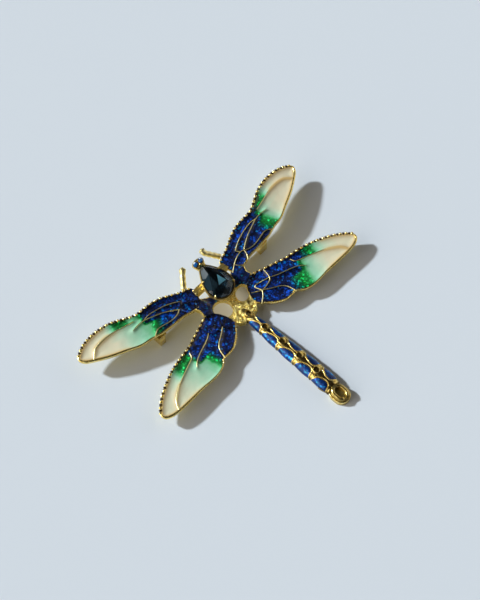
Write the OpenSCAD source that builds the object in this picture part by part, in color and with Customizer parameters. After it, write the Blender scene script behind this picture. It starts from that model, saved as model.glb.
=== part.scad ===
// Dragonfly brooch: a cast body with four enamelled wing trays, a jointed tail and a pear-cut stone.
// It lies on its back. +Z points out of its face, +Y to the head and +X to the right wings.
// The left side is the mirror image of the right side, apart from the bend of the antennae and the pin.

/* [Forewings] */
// Length of a forewing from its root to its tip
fore_len = 28.7; // [25:0.1:33]
// Widest measure across a forewing
fore_chord = 8; // [7:0.1:9]
// Angle at which a forewing leans to the head, in degrees
fore_sweep = 12.5; // [10:0.5:16]
// Height of a forewing's face at its root
fore_root_z = 4.1; // [3.8:0.1:4.6]
// Height of a forewing's face at its tip
fore_tip_z = 4.6; // [3.8:0.1:5.6]
// Rise of a forewing's arch above the line from root to tip
fore_arch = 1; // [0.4:0.1:1.6]
// Angle at which a forewing's leading edge is lifted, in degrees
fore_tilt = 7; // [3:0.5:9]

/* [Hindwings] */
// Length of a hindwing from its root to its tip
hind_len = 26; // [22:0.1:30]
// Widest measure across a hindwing
hind_chord = 8.9; // [8:0.1:9.8]
// Angle at which a hindwing leans to the tail, in degrees
hind_sweep = 13.5; // [11:0.5:17]
// Height of a hindwing's face at its root
hind_root_z = 2.9; // [2.6:0.1:3.3]
// Height of a hindwing's face at its tip
hind_tip_z = 3.5; // [3:0.1:4.4]
// Rise of a hindwing's arch above the line from root to tip
hind_arch = 0.3; // [0.1:0.1:0.8]
// Angle at which a hindwing's leading edge is lifted, in degrees
hind_tilt = 3.5; // [1:0.5:5]

/* [Trays and enamel] */
// Thickness of a wing's tray
tray_t = 1.3; // [1.1:0.05:1.8]
// Width of the rim round a wing
rim_w = 0.45; // [0.35:0.05:0.7]
// Width of a raised vein
vein_w = 0.3; // [0.25:0.05:0.45]
// Depth of the pockets that hold the enamel
pocket_d = 0.55; // [0.4:0.05:0.7]
// Depth of the enamel's face below the rim
enamel_sink = 0.08; // [0.04:0.02:0.16]
// Gap between enamel and metal
enamel_gap = 0.05; // [0.04:0.01:0.08]
// Height of the beads along a leading edge
bead_h = 0.32; // [0.2:0.02:0.5]
// Distance from bead to bead
bead_pitch = 1.33; // [1.2:0.01:1.8]

/* [Stones] */
// Width of the pear-cut stone
stone_w = 6; // [5.6:0.1:6.4]
// Length of the pear-cut stone
stone_l = 9; // [8.5:0.1:9.5]
// Height of the stone's girdle at its middle
stone_z = 5.8; // [5.5:0.1:5.9]
// Angle at which the stone's point is lifted, in degrees
stone_tilt = 15; // [11:1:18]
// Height of the stone's table above its girdle
crown_h = 1.1; // [0.8:0.1:1.4]
// Depth of the stone below its girdle
pavilion_h = 1.9; // [1.6:0.1:2.1]
// Wall of the setting round the stone
setting_wall = 0.32; // [0.28:0.02:0.45]
// Gap between a stone and its setting
stone_gap = 0.05; // [0.04:0.01:0.08]
// Diameter of an eye stone
eye_d = 1.25; // [1:0.05:1.35]

/* [Body] */
// Diameter of the round holes behind the stone
hole_d = 4.2; // [3.8:0.1:4.4]
// Distance of a hole's centre from the middle plane
hole_x = 2.95; // [2.85:0.05:3.1]
// Width of the bare ring round a hole
ring_w = 0.55; // [0.45:0.05:0.7]
// Thickness of the body's plate
plate_t = 1.2; // [1.1:0.1:1.6]
// Height of the plate's face at the holes
plate_z = 2.75; // [2.6:0.05:2.9]
// Thickness of an antenna
antenna_d = 1.25; // [1:0.05:1.35]

/* [Tail] */
// Length of the tail from the waist to the end of its loop
tail_len = 31.7; // [28:0.1:36]
// Width of the tail where it is widest
tail_w = 4.3; // [4:0.1:4.8]
// Height of the tail's ridge
tail_top = 2.95; // [2.7:0.05:3.3]
// Height of the tail's underside at the waist
tail_lift = 0.9; // [0.6:0.05:1.1]
// Depth of the tail's pockets
tail_pocket = 0.5; // [0.4:0.05:0.6]
// Outer diameter of a cup on the tail
cup_d = 1.6; // [1.3:0.05:1.7]
// Diameter of the pit in a cup
cup_pit_d = 0.9; // [0.7:0.05:1]

/* [Pin] */
// Distance of the pin's joint from the middle plane
joint_x = 14.5; // [13:0.1:15.5]
// Distance of the pin's catch from the middle plane
catch_x = 16.8; // [15.5:0.1:17.5]
// Diameter of the pin's stem
stem_d = 0.9; // [0.7:0.05:1.1]
// Length of the joint and the catch across the stem
foot_len = 3; // [2.4:0.1:3.6]
// Height of the joint and the catch, from the floor to their pads
foot_h = 3.25; // [3:0.05:3.35]
// Gap between the pin's feet and their pads
pad_gap = 0.05; // [0.04:0.01:0.08]
// Distance of the stem from the middle of its feet, towards the head
stem_shift = 0.9; // [0:0.1:1]

/* [Hidden] */

gold = [0.83, 0.68, 0.36];
deep_blue = [0.07, 0.16, 0.5];
tail_blue = [0.1, 0.35, 0.72];
sea_green = [0.35, 0.68, 0.55];
tip_cream = [0.78, 0.77, 0.64];
stone_dark = [0.06, 0.1, 0.15];
above = 9;
hair = 0.01;

// Places of a wing's values in its list: length, chord, sweep, root and rise
LEN = 0;
CHORD = 1;
SWEEP = 2;
ROOT_X = 3;
ROOT_Y = 4;
ROOT_Z = 5;
TIP_Z = 6;
ARCH = 7;
TILT = 8;
fore_root = [5.4, 6.6];
hind_root = [5, -2.2];
fore = [fore_len, fore_chord, fore_sweep, fore_root[0], fore_root[1], fore_root_z, fore_tip_z, fore_arch,
    fore_tilt];
hind = [hind_len, hind_chord, -hind_sweep, hind_root[0], hind_root[1], hind_root_z, hind_tip_z, hind_arch,
    hind_tilt];

// Wing outlines and veins: [share of the length from the root, share of the chord towards the head]
fore_lead = [[-0.03, 0.20], [0.06, 0.25], [0.13, 0.30], [0.21, 0.365], [0.29, 0.385], [0.38, 0.34],
    [0.47, 0.295], [0.56, 0.385], [0.65, 0.46], [0.74, 0.475], [0.83, 0.435], [0.91, 0.34], [0.97, 0.20]];
fore_trail = [[1.00, 0.05], [0.97, -0.11], [0.89, -0.24], [0.78, -0.37], [0.66, -0.46], [0.55, -0.54],
    [0.46, -0.525], [0.37, -0.535], [0.26, -0.48], [0.15, -0.41], [0.06, -0.40], [-0.02, -0.33]];
fore_veins = [
    [[0.50, 0.155], [0.58, 0.16], [0.66, 0.18], [0.74, 0.165], [0.81, 0.11], [0.86, 0.02], [0.905, -0.21]],
    [[0.155, -0.17], [0.21, -0.10], [0.28, -0.03], [0.35, 0.005], [0.42, 0.03], [0.48, 0.01], [0.54, -0.06]],
    [[0.115, 0.015], [0.17, 0.075], [0.23, 0.11], [0.31, 0.12], [0.38, 0.10], [0.43, 0.03]],
    [[0.155, -0.17], [0.19, -0.27], [0.25, -0.34], [0.32, -0.35], [0.38, -0.37], [0.43, -0.52]],
    [[-0.04, -0.24], [0.02, -0.16], [0.08, -0.11], [0.13, -0.12], [0.155, -0.17], [0.14, -0.29],
        [0.11, -0.40]],
    [[0.13, -0.12], [0.115, 0.015]],
    [[0.02, -0.16], [0.035, -0.31], [0.07, -0.40]]];
hind_lead = [[0.05, 0.46], [0.12, 0.445], [0.20, 0.425], [0.28, 0.40], [0.35, 0.375], [0.43, 0.385],
    [0.53, 0.40], [0.62, 0.39], [0.70, 0.355], [0.78, 0.31], [0.86, 0.24], [0.93, 0.15], [0.98, 0.06]];
hind_trail = [[1.00, -0.05], [0.98, -0.17], [0.92, -0.28], [0.83, -0.36], [0.72, -0.43], [0.61, -0.495],
    [0.53, -0.56], [0.46, -0.605], [0.40, -0.615], [0.34, -0.585], [0.285, -0.505], [0.24, -0.54],
    [0.18, -0.565], [0.12, -0.53], [0.06, -0.455], [0.01, -0.35], [-0.05, -0.22], [-0.06, 0.02],
    [-0.03, 0.32]];
hind_veins = [
    [[0.40, 0.27], [0.43, 0.16], [0.50, 0.125], [0.60, 0.085], [0.68, 0.045], [0.76, -0.03], [0.83, -0.13],
        [0.885, -0.33]],
    [[0.165, 0.15], [0.22, 0.10], [0.30, 0.07], [0.38, 0.04], [0.44, -0.01], [0.48, -0.08]],
    [[0.05, -0.04], [0.10, -0.10], [0.15, -0.15], [0.20, -0.20], [0.245, -0.30], [0.285, -0.52]],
    [[0.16, 0.45], [0.165, 0.15], [0.13, 0.04], [0.05, -0.04], [-0.04, 0.04]],
    [[0.05, -0.04], [0.02, 0.15], [0.165, 0.15]],
    [[0.05, -0.04], [0.03, -0.17], [-0.02, -0.34]]];

// Stations along a wing at which its face bends, as shares of its length
wing_stations = [-0.12, 0.1, 0.3, 0.5, 0.7, 0.88, 1.06];

// Places on the body's right half
hole_y = 0.1;
stone_y = 5.35;
waist_y = -1.8;
pin_y = 6;
band_shape = [[1.4, 2.4], [2.5, 4.1], [3.7, 4.5], [4.9, 5.2], [6.2, 5], [7.5, 3.9], [7.05, 2.6], [7.3, 1.4],
    [5.2, 0]];
waist_shape = [[-0.3, 1], [3, -1], [4.5, -1.4], [4.3, -2.7], [3.1, -4], [2.6, -5], [1.7, -5.35],
    [-0.3, -5.35]];
strut_shape = [[2.1, 6.05], [4.95, 5.95], [4.75, 7.6], [2, 7.6]];
crease_x = 2.8;
plate_rise_x = 0.22;
plate_rise_y = 0.1;

// The tail's form: [share of its length, share of its half width, share of its ridge height]
tail_form = [[0.03, 0.62, 0.85], [0.13, 0.55, 0.92], [0.24, 0.68, 0.97], [0.40, 0.83, 1.00],
    [0.555, 0.91, 0.99], [0.71, 0.97, 0.96], [0.81, 0.96, 0.87], [0.865, 0.84, 0.74]];
// A section's points from the left foot over the ridge: [share of half width, share of height]
tail_section = [[-0.8, 0], [-1, 0.35], [-0.9, 0.68], [-0.6, 0.9], [-0.2, 1], [0.2, 1], [0.6, 0.9],
    [0.9, 0.68], [1, 0.35], [0.8, 0]];
// Places of the tail's cups, as shares of its length
tail_cups = [0.09, 0.24, 0.40, 0.555, 0.71];
// The tail's cells on one side: [share of its length at the upper end, at the lower end]
tail_spans = [[0.115, 0.24], [0.24, 0.40], [0.40, 0.555], [0.555, 0.71], [0.71, 0.86]];
// A cell's outline: [share of the half width, share of its span]
cell_shape = [[2.2, 0.04], [0.9, 0.07], [0.5, 0.2], [0.22, 0.42], [0.13, 0.62], [0.2, 0.79], [0.5, 0.91],
    [2.2, 0.95]];
loop_from = 0.85;
loop_share = 0.9;

// A round path through the points, with the given number of steps from one to the next
function spline(p, steps) =
    [for (i = [0:len(p) - 1])
        let(a = p[(i + len(p) - 1) % len(p)], b = p[i], c = p[(i + 1) % len(p)], d = p[(i + 2) % len(p)])
        for (k = [0:steps - 1])
            let(t = k / steps)
            0.5 * (2 * b + (c - a) * t + (2 * a - 5 * b + 4 * c - d) * t * t
                + (3 * b - a - 3 * c + d) * t * t * t)];

// Shares of a wing turned into lengths along its own axes
function on_wing(w, p) = [p[0] * w[LEN], p[1] * w[CHORD]];
function wing_path(w, shares) = [for (p = shares) on_wing(w, p)];
function wing_edge(w, lead, trail) = spline(wing_path(w, concat(lead, trail)), 2);

// The same edge with beads along the leading side
function beaded_edge(w, lead, trail) =
    let(edge = wing_edge(w, lead, trail),
        turn = 2 * len(lead),
        front = spaced([for (i = [0:turn]) edge[i]], bead_pitch / 3),
        last = len(front) - 1)
    concat(
        [for (i = [0:last])
            front[i] + (i % 3 == 0 ? 0 : bead_h) * left_of(front[min(i + 1, last)] - front[max(i - 1, 0)])],
        [for (i = [turn:len(edge) - 1]) edge[i]]);

// Height of a wing's face at a share of its length and chord
function wing_z(w, u, v) =
    w[ROOT_Z] + (w[TIP_Z] - w[ROOT_Z]) * u + 4 * w[ARCH] * u * (1 - u) + tan(w[TILT]) * v * w[CHORD];

// A point of the wing's own plane, placed on the brooch
function wing_to_body(w, p) =
    [w[ROOT_X] + p[0] * cos(w[SWEEP]) - p[1] * sin(w[SWEEP]),
        w[ROOT_Y] + p[0] * sin(w[SWEEP]) + p[1] * cos(w[SWEEP])];
function body_to_wing(w, x, y) =
    [((x - w[ROOT_X]) * cos(w[SWEEP]) + (y - w[ROOT_Y]) * sin(w[SWEEP])) / w[LEN],
        ((y - w[ROOT_Y]) * cos(w[SWEEP]) - (x - w[ROOT_X]) * sin(w[SWEEP])) / w[CHORD]];

// The unit vector along a direction, and the one to its left in the plane
function unit(v) = v / norm(v);
function left_of(v) = unit([-v[1], v[0]]);

// The outline of a line of even width along a path, longer than the path by a margin at both ends
function stroke(path, width, margin) =
    let(last = len(path) - 1,
        side = [for (i = [0:last]) left_of(path[min(i + 1, last)] - path[max(i - 1, 0)]) * width / 2],
        ahead = [for (i = [0:last])
            (i == 0 ? -margin : i == last ? margin : 0) * unit([side[i][1], -side[i][0]])])
    concat(
        [for (i = [0:last]) path[i] + ahead[i] + side[i]],
        [for (i = [last:-1:0]) path[i] + ahead[i] - side[i]]);

// Distances along a path, and points on it one pitch apart
function distances(p) =
    [for (i = 0, s = 0; i < len(p); s = s + (i + 1 < len(p) ? norm(p[i + 1] - p[i]) : 0), i = i + 1) s];
function spaced(p, pitch) =
    let(d = distances(p),
        count = floor(d[len(d) - 1] / pitch),
        xs = [for (i = [0:len(p) - 1]) [d[i], p[i][0]]],
        ys = [for (i = [0:len(p) - 1]) [d[i], p[i][1]]])
    [for (k = [0:count - 1]) [lookup((k + 0.5) * pitch, xs), lookup((k + 0.5) * pitch, ys)]];

// The outline of a pear-cut stone, with its point at +Y: one point at an angle, and the whole of it
pear_fullness = 0.65;
function pear_at(w, l, t) = [pear_fullness * w * sin(t) * abs(sin(t / 2)), l / 2 * cos(t)];
function pear(w, l, count) = [for (i = [0:count - 1]) pear_at(w, l, 360 * i / count)];

// The brooch is centred on the floor between its highest leading edge and the end of its tail
fore_top_y = max([for (p = beaded_edge(fore, fore_lead, fore_trail)) wing_to_body(fore, p)[1]]);
tail_end_y = waist_y - tail_len;
centre_y = (fore_top_y + tail_end_y) / 2;

module on_floor() {
    translate([0, -centre_y, 0]) children();
}

module both_sides() {
    children();
    mirror([1, 0, 0]) children();
}

module wing_place(w) {
    translate([w[ROOT_X], w[ROOT_Y], 0]) rotate([0, 0, w[SWEEP]]) children();
}

// A layer that follows a wing's face, between two heights measured from that face
module wing_layer(w, low, high) {
    v_end = 0.85;
    points = [for (u = wing_stations, v = [-v_end, v_end], h = [low, high])
        [u * w[LEN], v * w[CHORD], wing_z(w, u, v) + h]];
    last = 4 * (len(wing_stations) - 1);
    sides = [for (i = [0:len(wing_stations) - 2])
        let(a = 4 * i, b = 4 * (i + 1))
        for (f = [[a + 1, a + 3, b + 3, b + 1], [a, b, b + 2, a + 2], [a, a + 1, b + 1, b],
            [a + 2, b + 2, b + 3, a + 3]]) f];
    polyhedron(points, concat([[0, 2, 3, 1], [last, last + 1, last + 3, last + 2]], sides));
}

module veins(w, shares, margin) {
    for (one = shares) {
        polygon(stroke(wing_path(w, one), vein_w + 2 * margin, margin));
    }
}

// A flat shape without its slivers
module open_flat() {
    sliver = 0.08;
    offset(delta = sliver) offset(delta = -sliver) children();
}

// The bare ring round a hole, seen from above
module ring_flat(margin) {
    translate([hole_x, hole_y]) circle(d = hole_d + 2 * ring_w + 2 * margin, $fn = 24);
}

// A wing's cells seen from above, drawn back from the metal by a margin
module wing_cells(w, lead, trail, shares, margin) {
    open_flat() difference() {
        offset(delta = -rim_w - margin) polygon(wing_edge(w, lead, trail));
        veins(w, shares, margin);
    }
}

module fore_cells(margin) {
    wing_cells(fore, fore_lead, fore_trail, fore_veins, margin);
}

module hind_cells(margin) {
    difference() {
        wing_cells(hind, hind_lead, hind_trail, hind_veins, margin);
        rotate([0, 0, -hind[SWEEP]]) translate([-hind[ROOT_X], -hind[ROOT_Y]]) ring_flat(margin);
    }
}

module wing_tray(w, lead, trail) {
    wing_place(w) intersection() {
        linear_extrude(above) polygon(beaded_edge(w, lead, trail));
        wing_layer(w, -tray_t, 0);
    }
}

module wing_pockets(w) {
    wing_place(w) intersection() {
        linear_extrude(above) children();
        wing_layer(w, -pocket_d, above);
    }
}

module wing_enamel(w) {
    wing_place(w) intersection() {
        linear_extrude(above) children();
        wing_layer(w, enamel_gap - pocket_d, -enamel_sink);
    }
}

// A layer that follows the plate's face on the right half, between two heights measured from it
module plate_layer(low, high) {
    x_end = 9;
    y_end = 8;
    x_start = -0.5;
    points = [for (x = [x_start, crease_x, x_end], y = [-y_end, y_end], h = [low, high])
        [x, y, plate_z + plate_rise_x * max(0, x - crease_x) + plate_rise_y * y + h]];
    polyhedron(points, [[0, 2, 3, 1], [8, 9, 11, 10],
        [1, 3, 7, 5], [0, 4, 6, 2], [0, 1, 5, 4], [2, 6, 7, 3],
        [5, 7, 11, 9], [4, 8, 10, 6], [4, 5, 9, 8], [6, 10, 11, 7]]);
}

// The plate's right half seen from above: the band to the wing roots, the ring and the waist
module plate_flat() {
    polygon(band_shape);
    polygon(waist_shape);
    translate([hole_x, hole_y]) circle(d = hole_d + 4 * ring_w, $fn = 24);
}

// The part of a wing's place that its own tray fills
module tray_place(w, lead, trail) {
    lap = 0.2;
    wing_place(w) intersection() {
        linear_extrude(above) offset(delta = -lap) polygon(wing_edge(w, lead, trail));
        wing_layer(w, -tray_t / 2, above);
    }
}

module plate() {
    both_sides() difference() {
        intersection() {
            linear_extrude(above) plate_flat();
            plate_layer(-plate_t, 0);
        }
        tray_place(fore, fore_lead, fore_trail);
        tray_place(hind, hind_lead, hind_trail);
    }
}

// The band's pocket: clear of the setting, of the ring and of both wings' rims
module band_cell(margin) {
    open_flat() offset(delta = -margin) difference() {
        offset(delta = -rim_w) polygon(band_shape);
        ring_flat(0);
        translate([0, stone_y]) circle(d = stone_w + 2 * setting_wall, $fn = 24);
        translate([fore[ROOT_X], fore[ROOT_Y]]) rotate(fore[SWEEP])
            polygon(wing_edge(fore, fore_lead, fore_trail));
        translate([hind[ROOT_X], hind[ROOT_Y]]) rotate(hind[SWEEP])
            polygon(wing_edge(hind, hind_lead, hind_trail));
    }
}

module pockets() {
    wing_pockets(fore) fore_cells(0);
    wing_pockets(hind) hind_cells(0);
    intersection() {
        linear_extrude(above) band_cell(0);
        plate_layer(-pocket_d, above);
    }
}

module holes() {
    translate([hole_x, hole_y, -1]) cylinder(d = hole_d, h = above, $fn = 24);
}

// The stone's own axes: its girdle lies in the plane z = 0 and its point at +Y
module stone_place() {
    translate([0, stone_y, stone_z]) rotate([stone_tilt, 0, 0]) children();
}

// A faceted pear, grown by a margin on all sides
module pear_gem(margin) {
    girdle_t = 0.25;
    table_share = 0.58;
    culet_d = 0.3;
    w = stone_w + 2 * margin;
    l = stone_l + 2 * margin;
    hull() {
        translate([0, 0, -girdle_t]) linear_extrude(girdle_t) polygon(pear(w, l, 16));
        translate([0, -0.04 * l, crown_h + margin - hair]) linear_extrude(hair)
            polygon(pear(w * table_share, l * table_share, 8));
        translate([0, -l / 6, -pavilion_h - margin]) cylinder(d = culet_d, h = hair, $fn = 6);
    }
}

// A faceted round stone
module round_gem(d) {
    girdle_t = 0.12;
    table_share = 0.55;
    culet_d = 0.2;
    hull() {
        translate([0, 0, -girdle_t]) cylinder(d = d, h = girdle_t, $fn = 8);
        translate([0, 0, 0.3 * d]) cylinder(d = table_share * d, h = hair, $fn = 8);
        translate([0, 0, -0.4 * d]) cylinder(d = culet_d, h = hair, $fn = 8);
    }
}

// The head's stones: eye centres in the stone's axes
eye_x = 0.76;
eye_y = stone_l / 2 + 0.55;
eye_z = 0.1;

module eye_place() {
    outward = 15;
    stone_place() translate([eye_x, eye_y, eye_z]) rotate([0, outward, 0]) children();
}

// The claws that hold the stone: [angle round the pear's outline]
claw_angles = [8, 75, 130, 230, 285, 352];

module claws() {
    claw_d = 0.6;
    claw_low = -0.9;
    claw_bend = 0.1;
    claw_lean = 50;
    tip_len = 0.65;
    for (t = claw_angles) {
        foot = pear_at(stone_w + 1.6 * setting_wall, stone_l + 1.6 * setting_wall, t);
        inward = atan2(-foot[1], -foot[0]);
        translate([foot[0], foot[1], claw_low]) cylinder(d = claw_d, h = claw_bend * 2 - claw_low, $fn = 12);
        translate([foot[0], foot[1], claw_bend]) rotate([0, claw_lean, inward])
            cylinder(d1 = claw_d, d2 = claw_d / 2, h = tip_len, $fn = 12);
    }
}

// The basket round the stone: upright down to its bend, then drawn in to its base
module setting() {
    lip = 0.05;
    bend = 1;
    basket_h = 2.4;
    base_share = 0.62;
    base_shift = -0.3;
    w = stone_w + 2 * setting_wall + 2 * stone_gap;
    l = stone_l + 2 * setting_wall + 2 * stone_gap;
    hull() {
        translate([0, 0, -bend]) linear_extrude(bend + lip) polygon(pear(w, l, 24));
        translate([0, base_shift, -basket_h]) linear_extrude(hair)
            polygon(pear(w * base_share, l * base_share, 16));
    }
}

// The foot that carries the setting on the plate
module setting_foot() {
    back_at = [0, 3.9, plate_z - 1.15];
    back_d = 3.4;
    back_h = 1.7;
    front_at = [0, 6.4, plate_z - 0.15];
    front_d = 2.6;
    front_h = 1.4;
    hull() {
        translate(back_at) cylinder(d = back_d, h = back_h, $fn = 16);
        translate(front_at) cylinder(d = front_d, h = front_h, $fn = 16);
    }
}

// The head: a cup for each eye, blended into a nose and a neck
module head() {
    cup_h = 1;
    cup_wall = 0.1;
    nose_at = [0, eye_y + 0.75, -0.55];
    nose_d = 0.5;
    neck_at = [0, stone_l / 2 - 0.8, -1.3];
    neck_d = 1.8;
    neck_h = 1.1;
    hull() {
        for (side = [-1, 1]) {
            translate([side * eye_x, eye_y, -cup_h]) cylinder(d = eye_d + 2 * cup_wall, h = cup_h, $fn = 12);
        }
        translate(nose_at) sphere(d = nose_d, $fn = 8);
        translate(neck_at) cylinder(d = neck_d, h = neck_h, $fn = 8);
    }
}

// Antennae, from the leading edge's root to the tip: the right one turns up near its end
antenna_left = [[5.7, 9.0, 3.7], [5.5, 9.35, 3.9], [4.45, 10.6, 4.9], [3, 12.1, 6], [2.85, 12.25, 6.05]];
antenna_right = [[5.6, 8.95, 3.7], [5.4, 9.35, 3.9], [3.8, 10.95, 5.1], [3.15, 11.6, 5.7], [3.1, 12.4, 6],
    [3.1, 12.6, 6.05]];

// A round bar along a path, with blunt ends
module antenna(path) {
    sides = 8;
    blunt = 0.6;
    last = len(path) - 1;
    loft([for (i = [0:last])
        let(along = unit(path[min(i + 1, last)] - path[max(i - 1, 0)]),
            across = unit(cross(along, [0, 0, 1])),
            up = cross(across, along),
            r = antenna_d / 2 * (i == 0 || i == last ? blunt : 1))
        [for (k = [0:sides - 1]) path[i] + r * (cos(360 * k / sides) * across + sin(360 * k / sides) * up)]]);
}

// The struts from the setting to the forewings
module struts() {
    proud = 0.1;
    strut_top = fore_root_z + proud;
    strut_t = 1.3;
    both_sides() translate([0, 0, strut_top - strut_t]) linear_extrude(strut_t) polygon(strut_shape);
}

function tail_y(share) = waist_y - share * tail_len;
function tail_under(share) = tail_lift * (1 - 0.5 * share);

// The rings of the tail's form, shrunk by a depth below its skin
function tail_ring(row, depth) =
    let(half = tail_w / 2 * row[1] - depth, low = tail_under(row[0]), top = tail_top * row[2] - depth)
    [for (p = tail_section) [p[0] * half, tail_y(row[0]), low + p[1] * (top - low)]];

// A closed skin over rings of equal length
module loft(rings) {
    n = len(rings[0]);
    count = len(rings);
    points = [for (r = rings) for (p = r) p];
    walls = [for (i = [0:count - 2], k = [0:n - 1])
        let(a = i * n + k, b = i * n + (k + 1) % n)
        for (f = [[a, b, b + n], [a, b + n, a + n]]) f];
    first = [for (k = [n - 1:-1:0]) k];
    end = [for (k = [0:n - 1]) (count - 1) * n + k];
    polyhedron(points, concat([first, end], walls));
}

module tail_body(depth) {
    loft([for (row = tail_form) tail_ring(row, depth)]);
}

// The tail's cells on the right side, seen from above, clear of the cups
module tail_cells(margin) {
    cup_rim = 0.15;
    for (span = tail_spans) {
        from = tail_y(span[0]);
        reach = tail_y(span[1]) - from;
        half = tail_w / 2 * (0.2 + 0.9 * span[1]);
        offset(delta = -margin) difference() {
            polygon([for (p = cell_shape) [p[0] * half, from + p[1] * reach]]);
            for (c = tail_cups) {
                translate([0, tail_y(c)]) circle(d = cup_d + 2 * cup_rim, $fn = 12);
            }
        }
    }
}

// Height of the lower edge of the tail's cells
cell_low = tail_lift + 0.2;

module tail_pockets() {
    both_sides() difference() {
        translate([0, 0, cell_low]) linear_extrude(above) tail_cells(0);
        tail_body(tail_pocket);
    }
}

module cups() {
    cup_root = 0.9;
    cup_rise = 0.3;
    cup_flare = 0.3;
    pit_floor = 0.7;
    for (c = tail_cups) {
        translate([0, tail_y(c), tail_top - cup_root]) difference() {
            cylinder(d1 = cup_d + cup_flare, d2 = cup_d, h = cup_root + cup_rise, $fn = 14);
            translate([0, 0, pit_floor]) cylinder(d = cup_pit_d, h = above, $fn = 14);
        }
    }
}

// The loop that ends the tail: an oval foot with a raised horseshoe round a recess
module loop_flat(inset) {
    r = loop_share * tail_w / 2;
    steps = 12;
    polygon([for (near = [1, -1], k = [0:steps])
        let(t = 180 * (k / steps + (near > 0 ? 0 : 1)),
            y = near > 0 ? tail_y(loop_from) - r : tail_end_y + r)
        [(r - inset) * cos(t), y + (r - inset) * sin(t)]]);
}

module tail_loop() {
    foot_top = 1.25;
    horseshoe_w = 0.85;
    step = 0.3;
    slit_w = 0.6;
    slope = 7;
    slope_top = 0.82 * tail_top;
    difference() {
        union() {
            linear_extrude(foot_top) loop_flat(0);
            linear_extrude(tail_top) difference() {
                loop_flat(step);
                loop_flat(step + horseshoe_w);
                translate([-slit_w / 2, tail_end_y]) square([slit_w, tail_w / 2]);
            }
        }
        translate([0, tail_y(loop_from), slope_top]) rotate([slope, 0, 0])
            translate([-tail_w, -2 * tail_w, 0]) cube([2 * tail_w, 3 * tail_w, above]);
    }
}

module loop_recess() {
    floor_z = 0.5;
    wall = 1.3;
    translate([0, 0, floor_z]) linear_extrude(above) loop_flat(wall);
}

// Flat pads under the forewings for the pin's feet
module pad(x) {
    pad_w = 2.2;
    bite = 0.3;
    at = body_to_wing(fore, x, pin_y);
    top = wing_z(fore, at[0], at[1]) - tray_t + bite;
    translate([x - pad_w / 2, pin_y - foot_len / 2, foot_h]) cube([pad_w, foot_len, top - foot_h]);
}

module casting() {
    color(gold) on_floor() {
        difference() {
            union() {
                both_sides() {
                    wing_tray(fore, fore_lead, fore_trail);
                    wing_tray(hind, hind_lead, hind_trail);
                }
                plate();
            }
            both_sides() {
                pockets();
                holes();
            }
        }
        difference() {
            union() {
                stone_place() {
                    setting();
                    claws();
                    head();
                }
                struts();
                setting_foot();
            }
            stone_place() pear_gem(stone_gap);
            both_sides() {
                eye_place() round_gem(eye_d + 2 * stone_gap);
                holes();
            }
        }
        difference() {
            tail_body(0);
            tail_pockets();
            both_sides() holes();
        }
        cups();
        difference() {
            tail_loop();
            loop_recess();
        }
        antenna(antenna_right);
        mirror([1, 0, 0]) antenna(antenna_left);
        pad(joint_x);
        mirror([1, 0, 0]) pad(catch_x);
    }
}

module main_stone() {
    color(stone_dark) on_floor() stone_place() pear_gem(0);
}

module eye() {
    color(deep_blue) on_floor() eye_place() round_gem(eye_d);
}

module eye_left() {
    mirror([1, 0, 0]) eye();
}

module eye_right() {
    eye();
}

module enamel_fore_right() {
    color(sea_green) on_floor() wing_enamel(fore) fore_cells(enamel_gap);
}

module enamel_fore_left() {
    mirror([1, 0, 0]) enamel_fore_right();
}

module enamel_hind_right() {
    color(sea_green) on_floor() wing_enamel(hind) hind_cells(enamel_gap);
}

module enamel_hind_left() {
    mirror([1, 0, 0]) enamel_hind_right();
}

module enamel_band_right() {
    color(deep_blue) on_floor() intersection() {
        linear_extrude(above) band_cell(enamel_gap);
        plate_layer(enamel_gap - pocket_d, -enamel_sink);
    }
}

module enamel_band_left() {
    mirror([1, 0, 0]) enamel_band_right();
}

module enamel_tail_right() {
    color(tail_blue) on_floor() intersection() {
        difference() {
            translate([0, 0, cell_low + enamel_gap]) linear_extrude(above) tail_cells(enamel_gap);
            tail_body(tail_pocket - enamel_gap);
        }
        tail_body(enamel_sink);
    }
}

module enamel_tail_left() {
    mirror([1, 0, 0]) enamel_tail_right();
}

// The bar pin: a joint block, a catch block and the stem between them, on the floor
module pin() {
    joint_w = 2;
    catch_w = 1.4;
    post_h = foot_h - pad_gap;
    color(gold) on_floor() translate([0, pin_y, 0]) {
        translate([joint_x - joint_w / 2, -foot_len / 2, 0]) cube([joint_w, foot_len, post_h]);
        translate([-catch_x - catch_w / 2, -foot_len / 2, 0]) cube([catch_w, foot_len, post_h]);
        translate([-catch_x, stem_shift, post_h / 2]) rotate([0, 90, 0])
            cylinder(d = stem_d, h = catch_x + joint_x, $fn = 24);
    }
}

casting();
main_stone();
eye_left();
eye_right();
enamel_fore_left();
enamel_fore_right();
enamel_hind_left();
enamel_hind_right();
enamel_band_left();
enamel_band_right();
enamel_tail_left();
enamel_tail_right();
pin();
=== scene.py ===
"""Looks of the dragonfly brooch: polished gold castings, glittering enamel and foiled stones."""

import math

import bmesh
import bpy
import numpy as np
from mathutils import Matrix, Vector, noise
from mathutils.geometry import delaunay_2d_cdt


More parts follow.
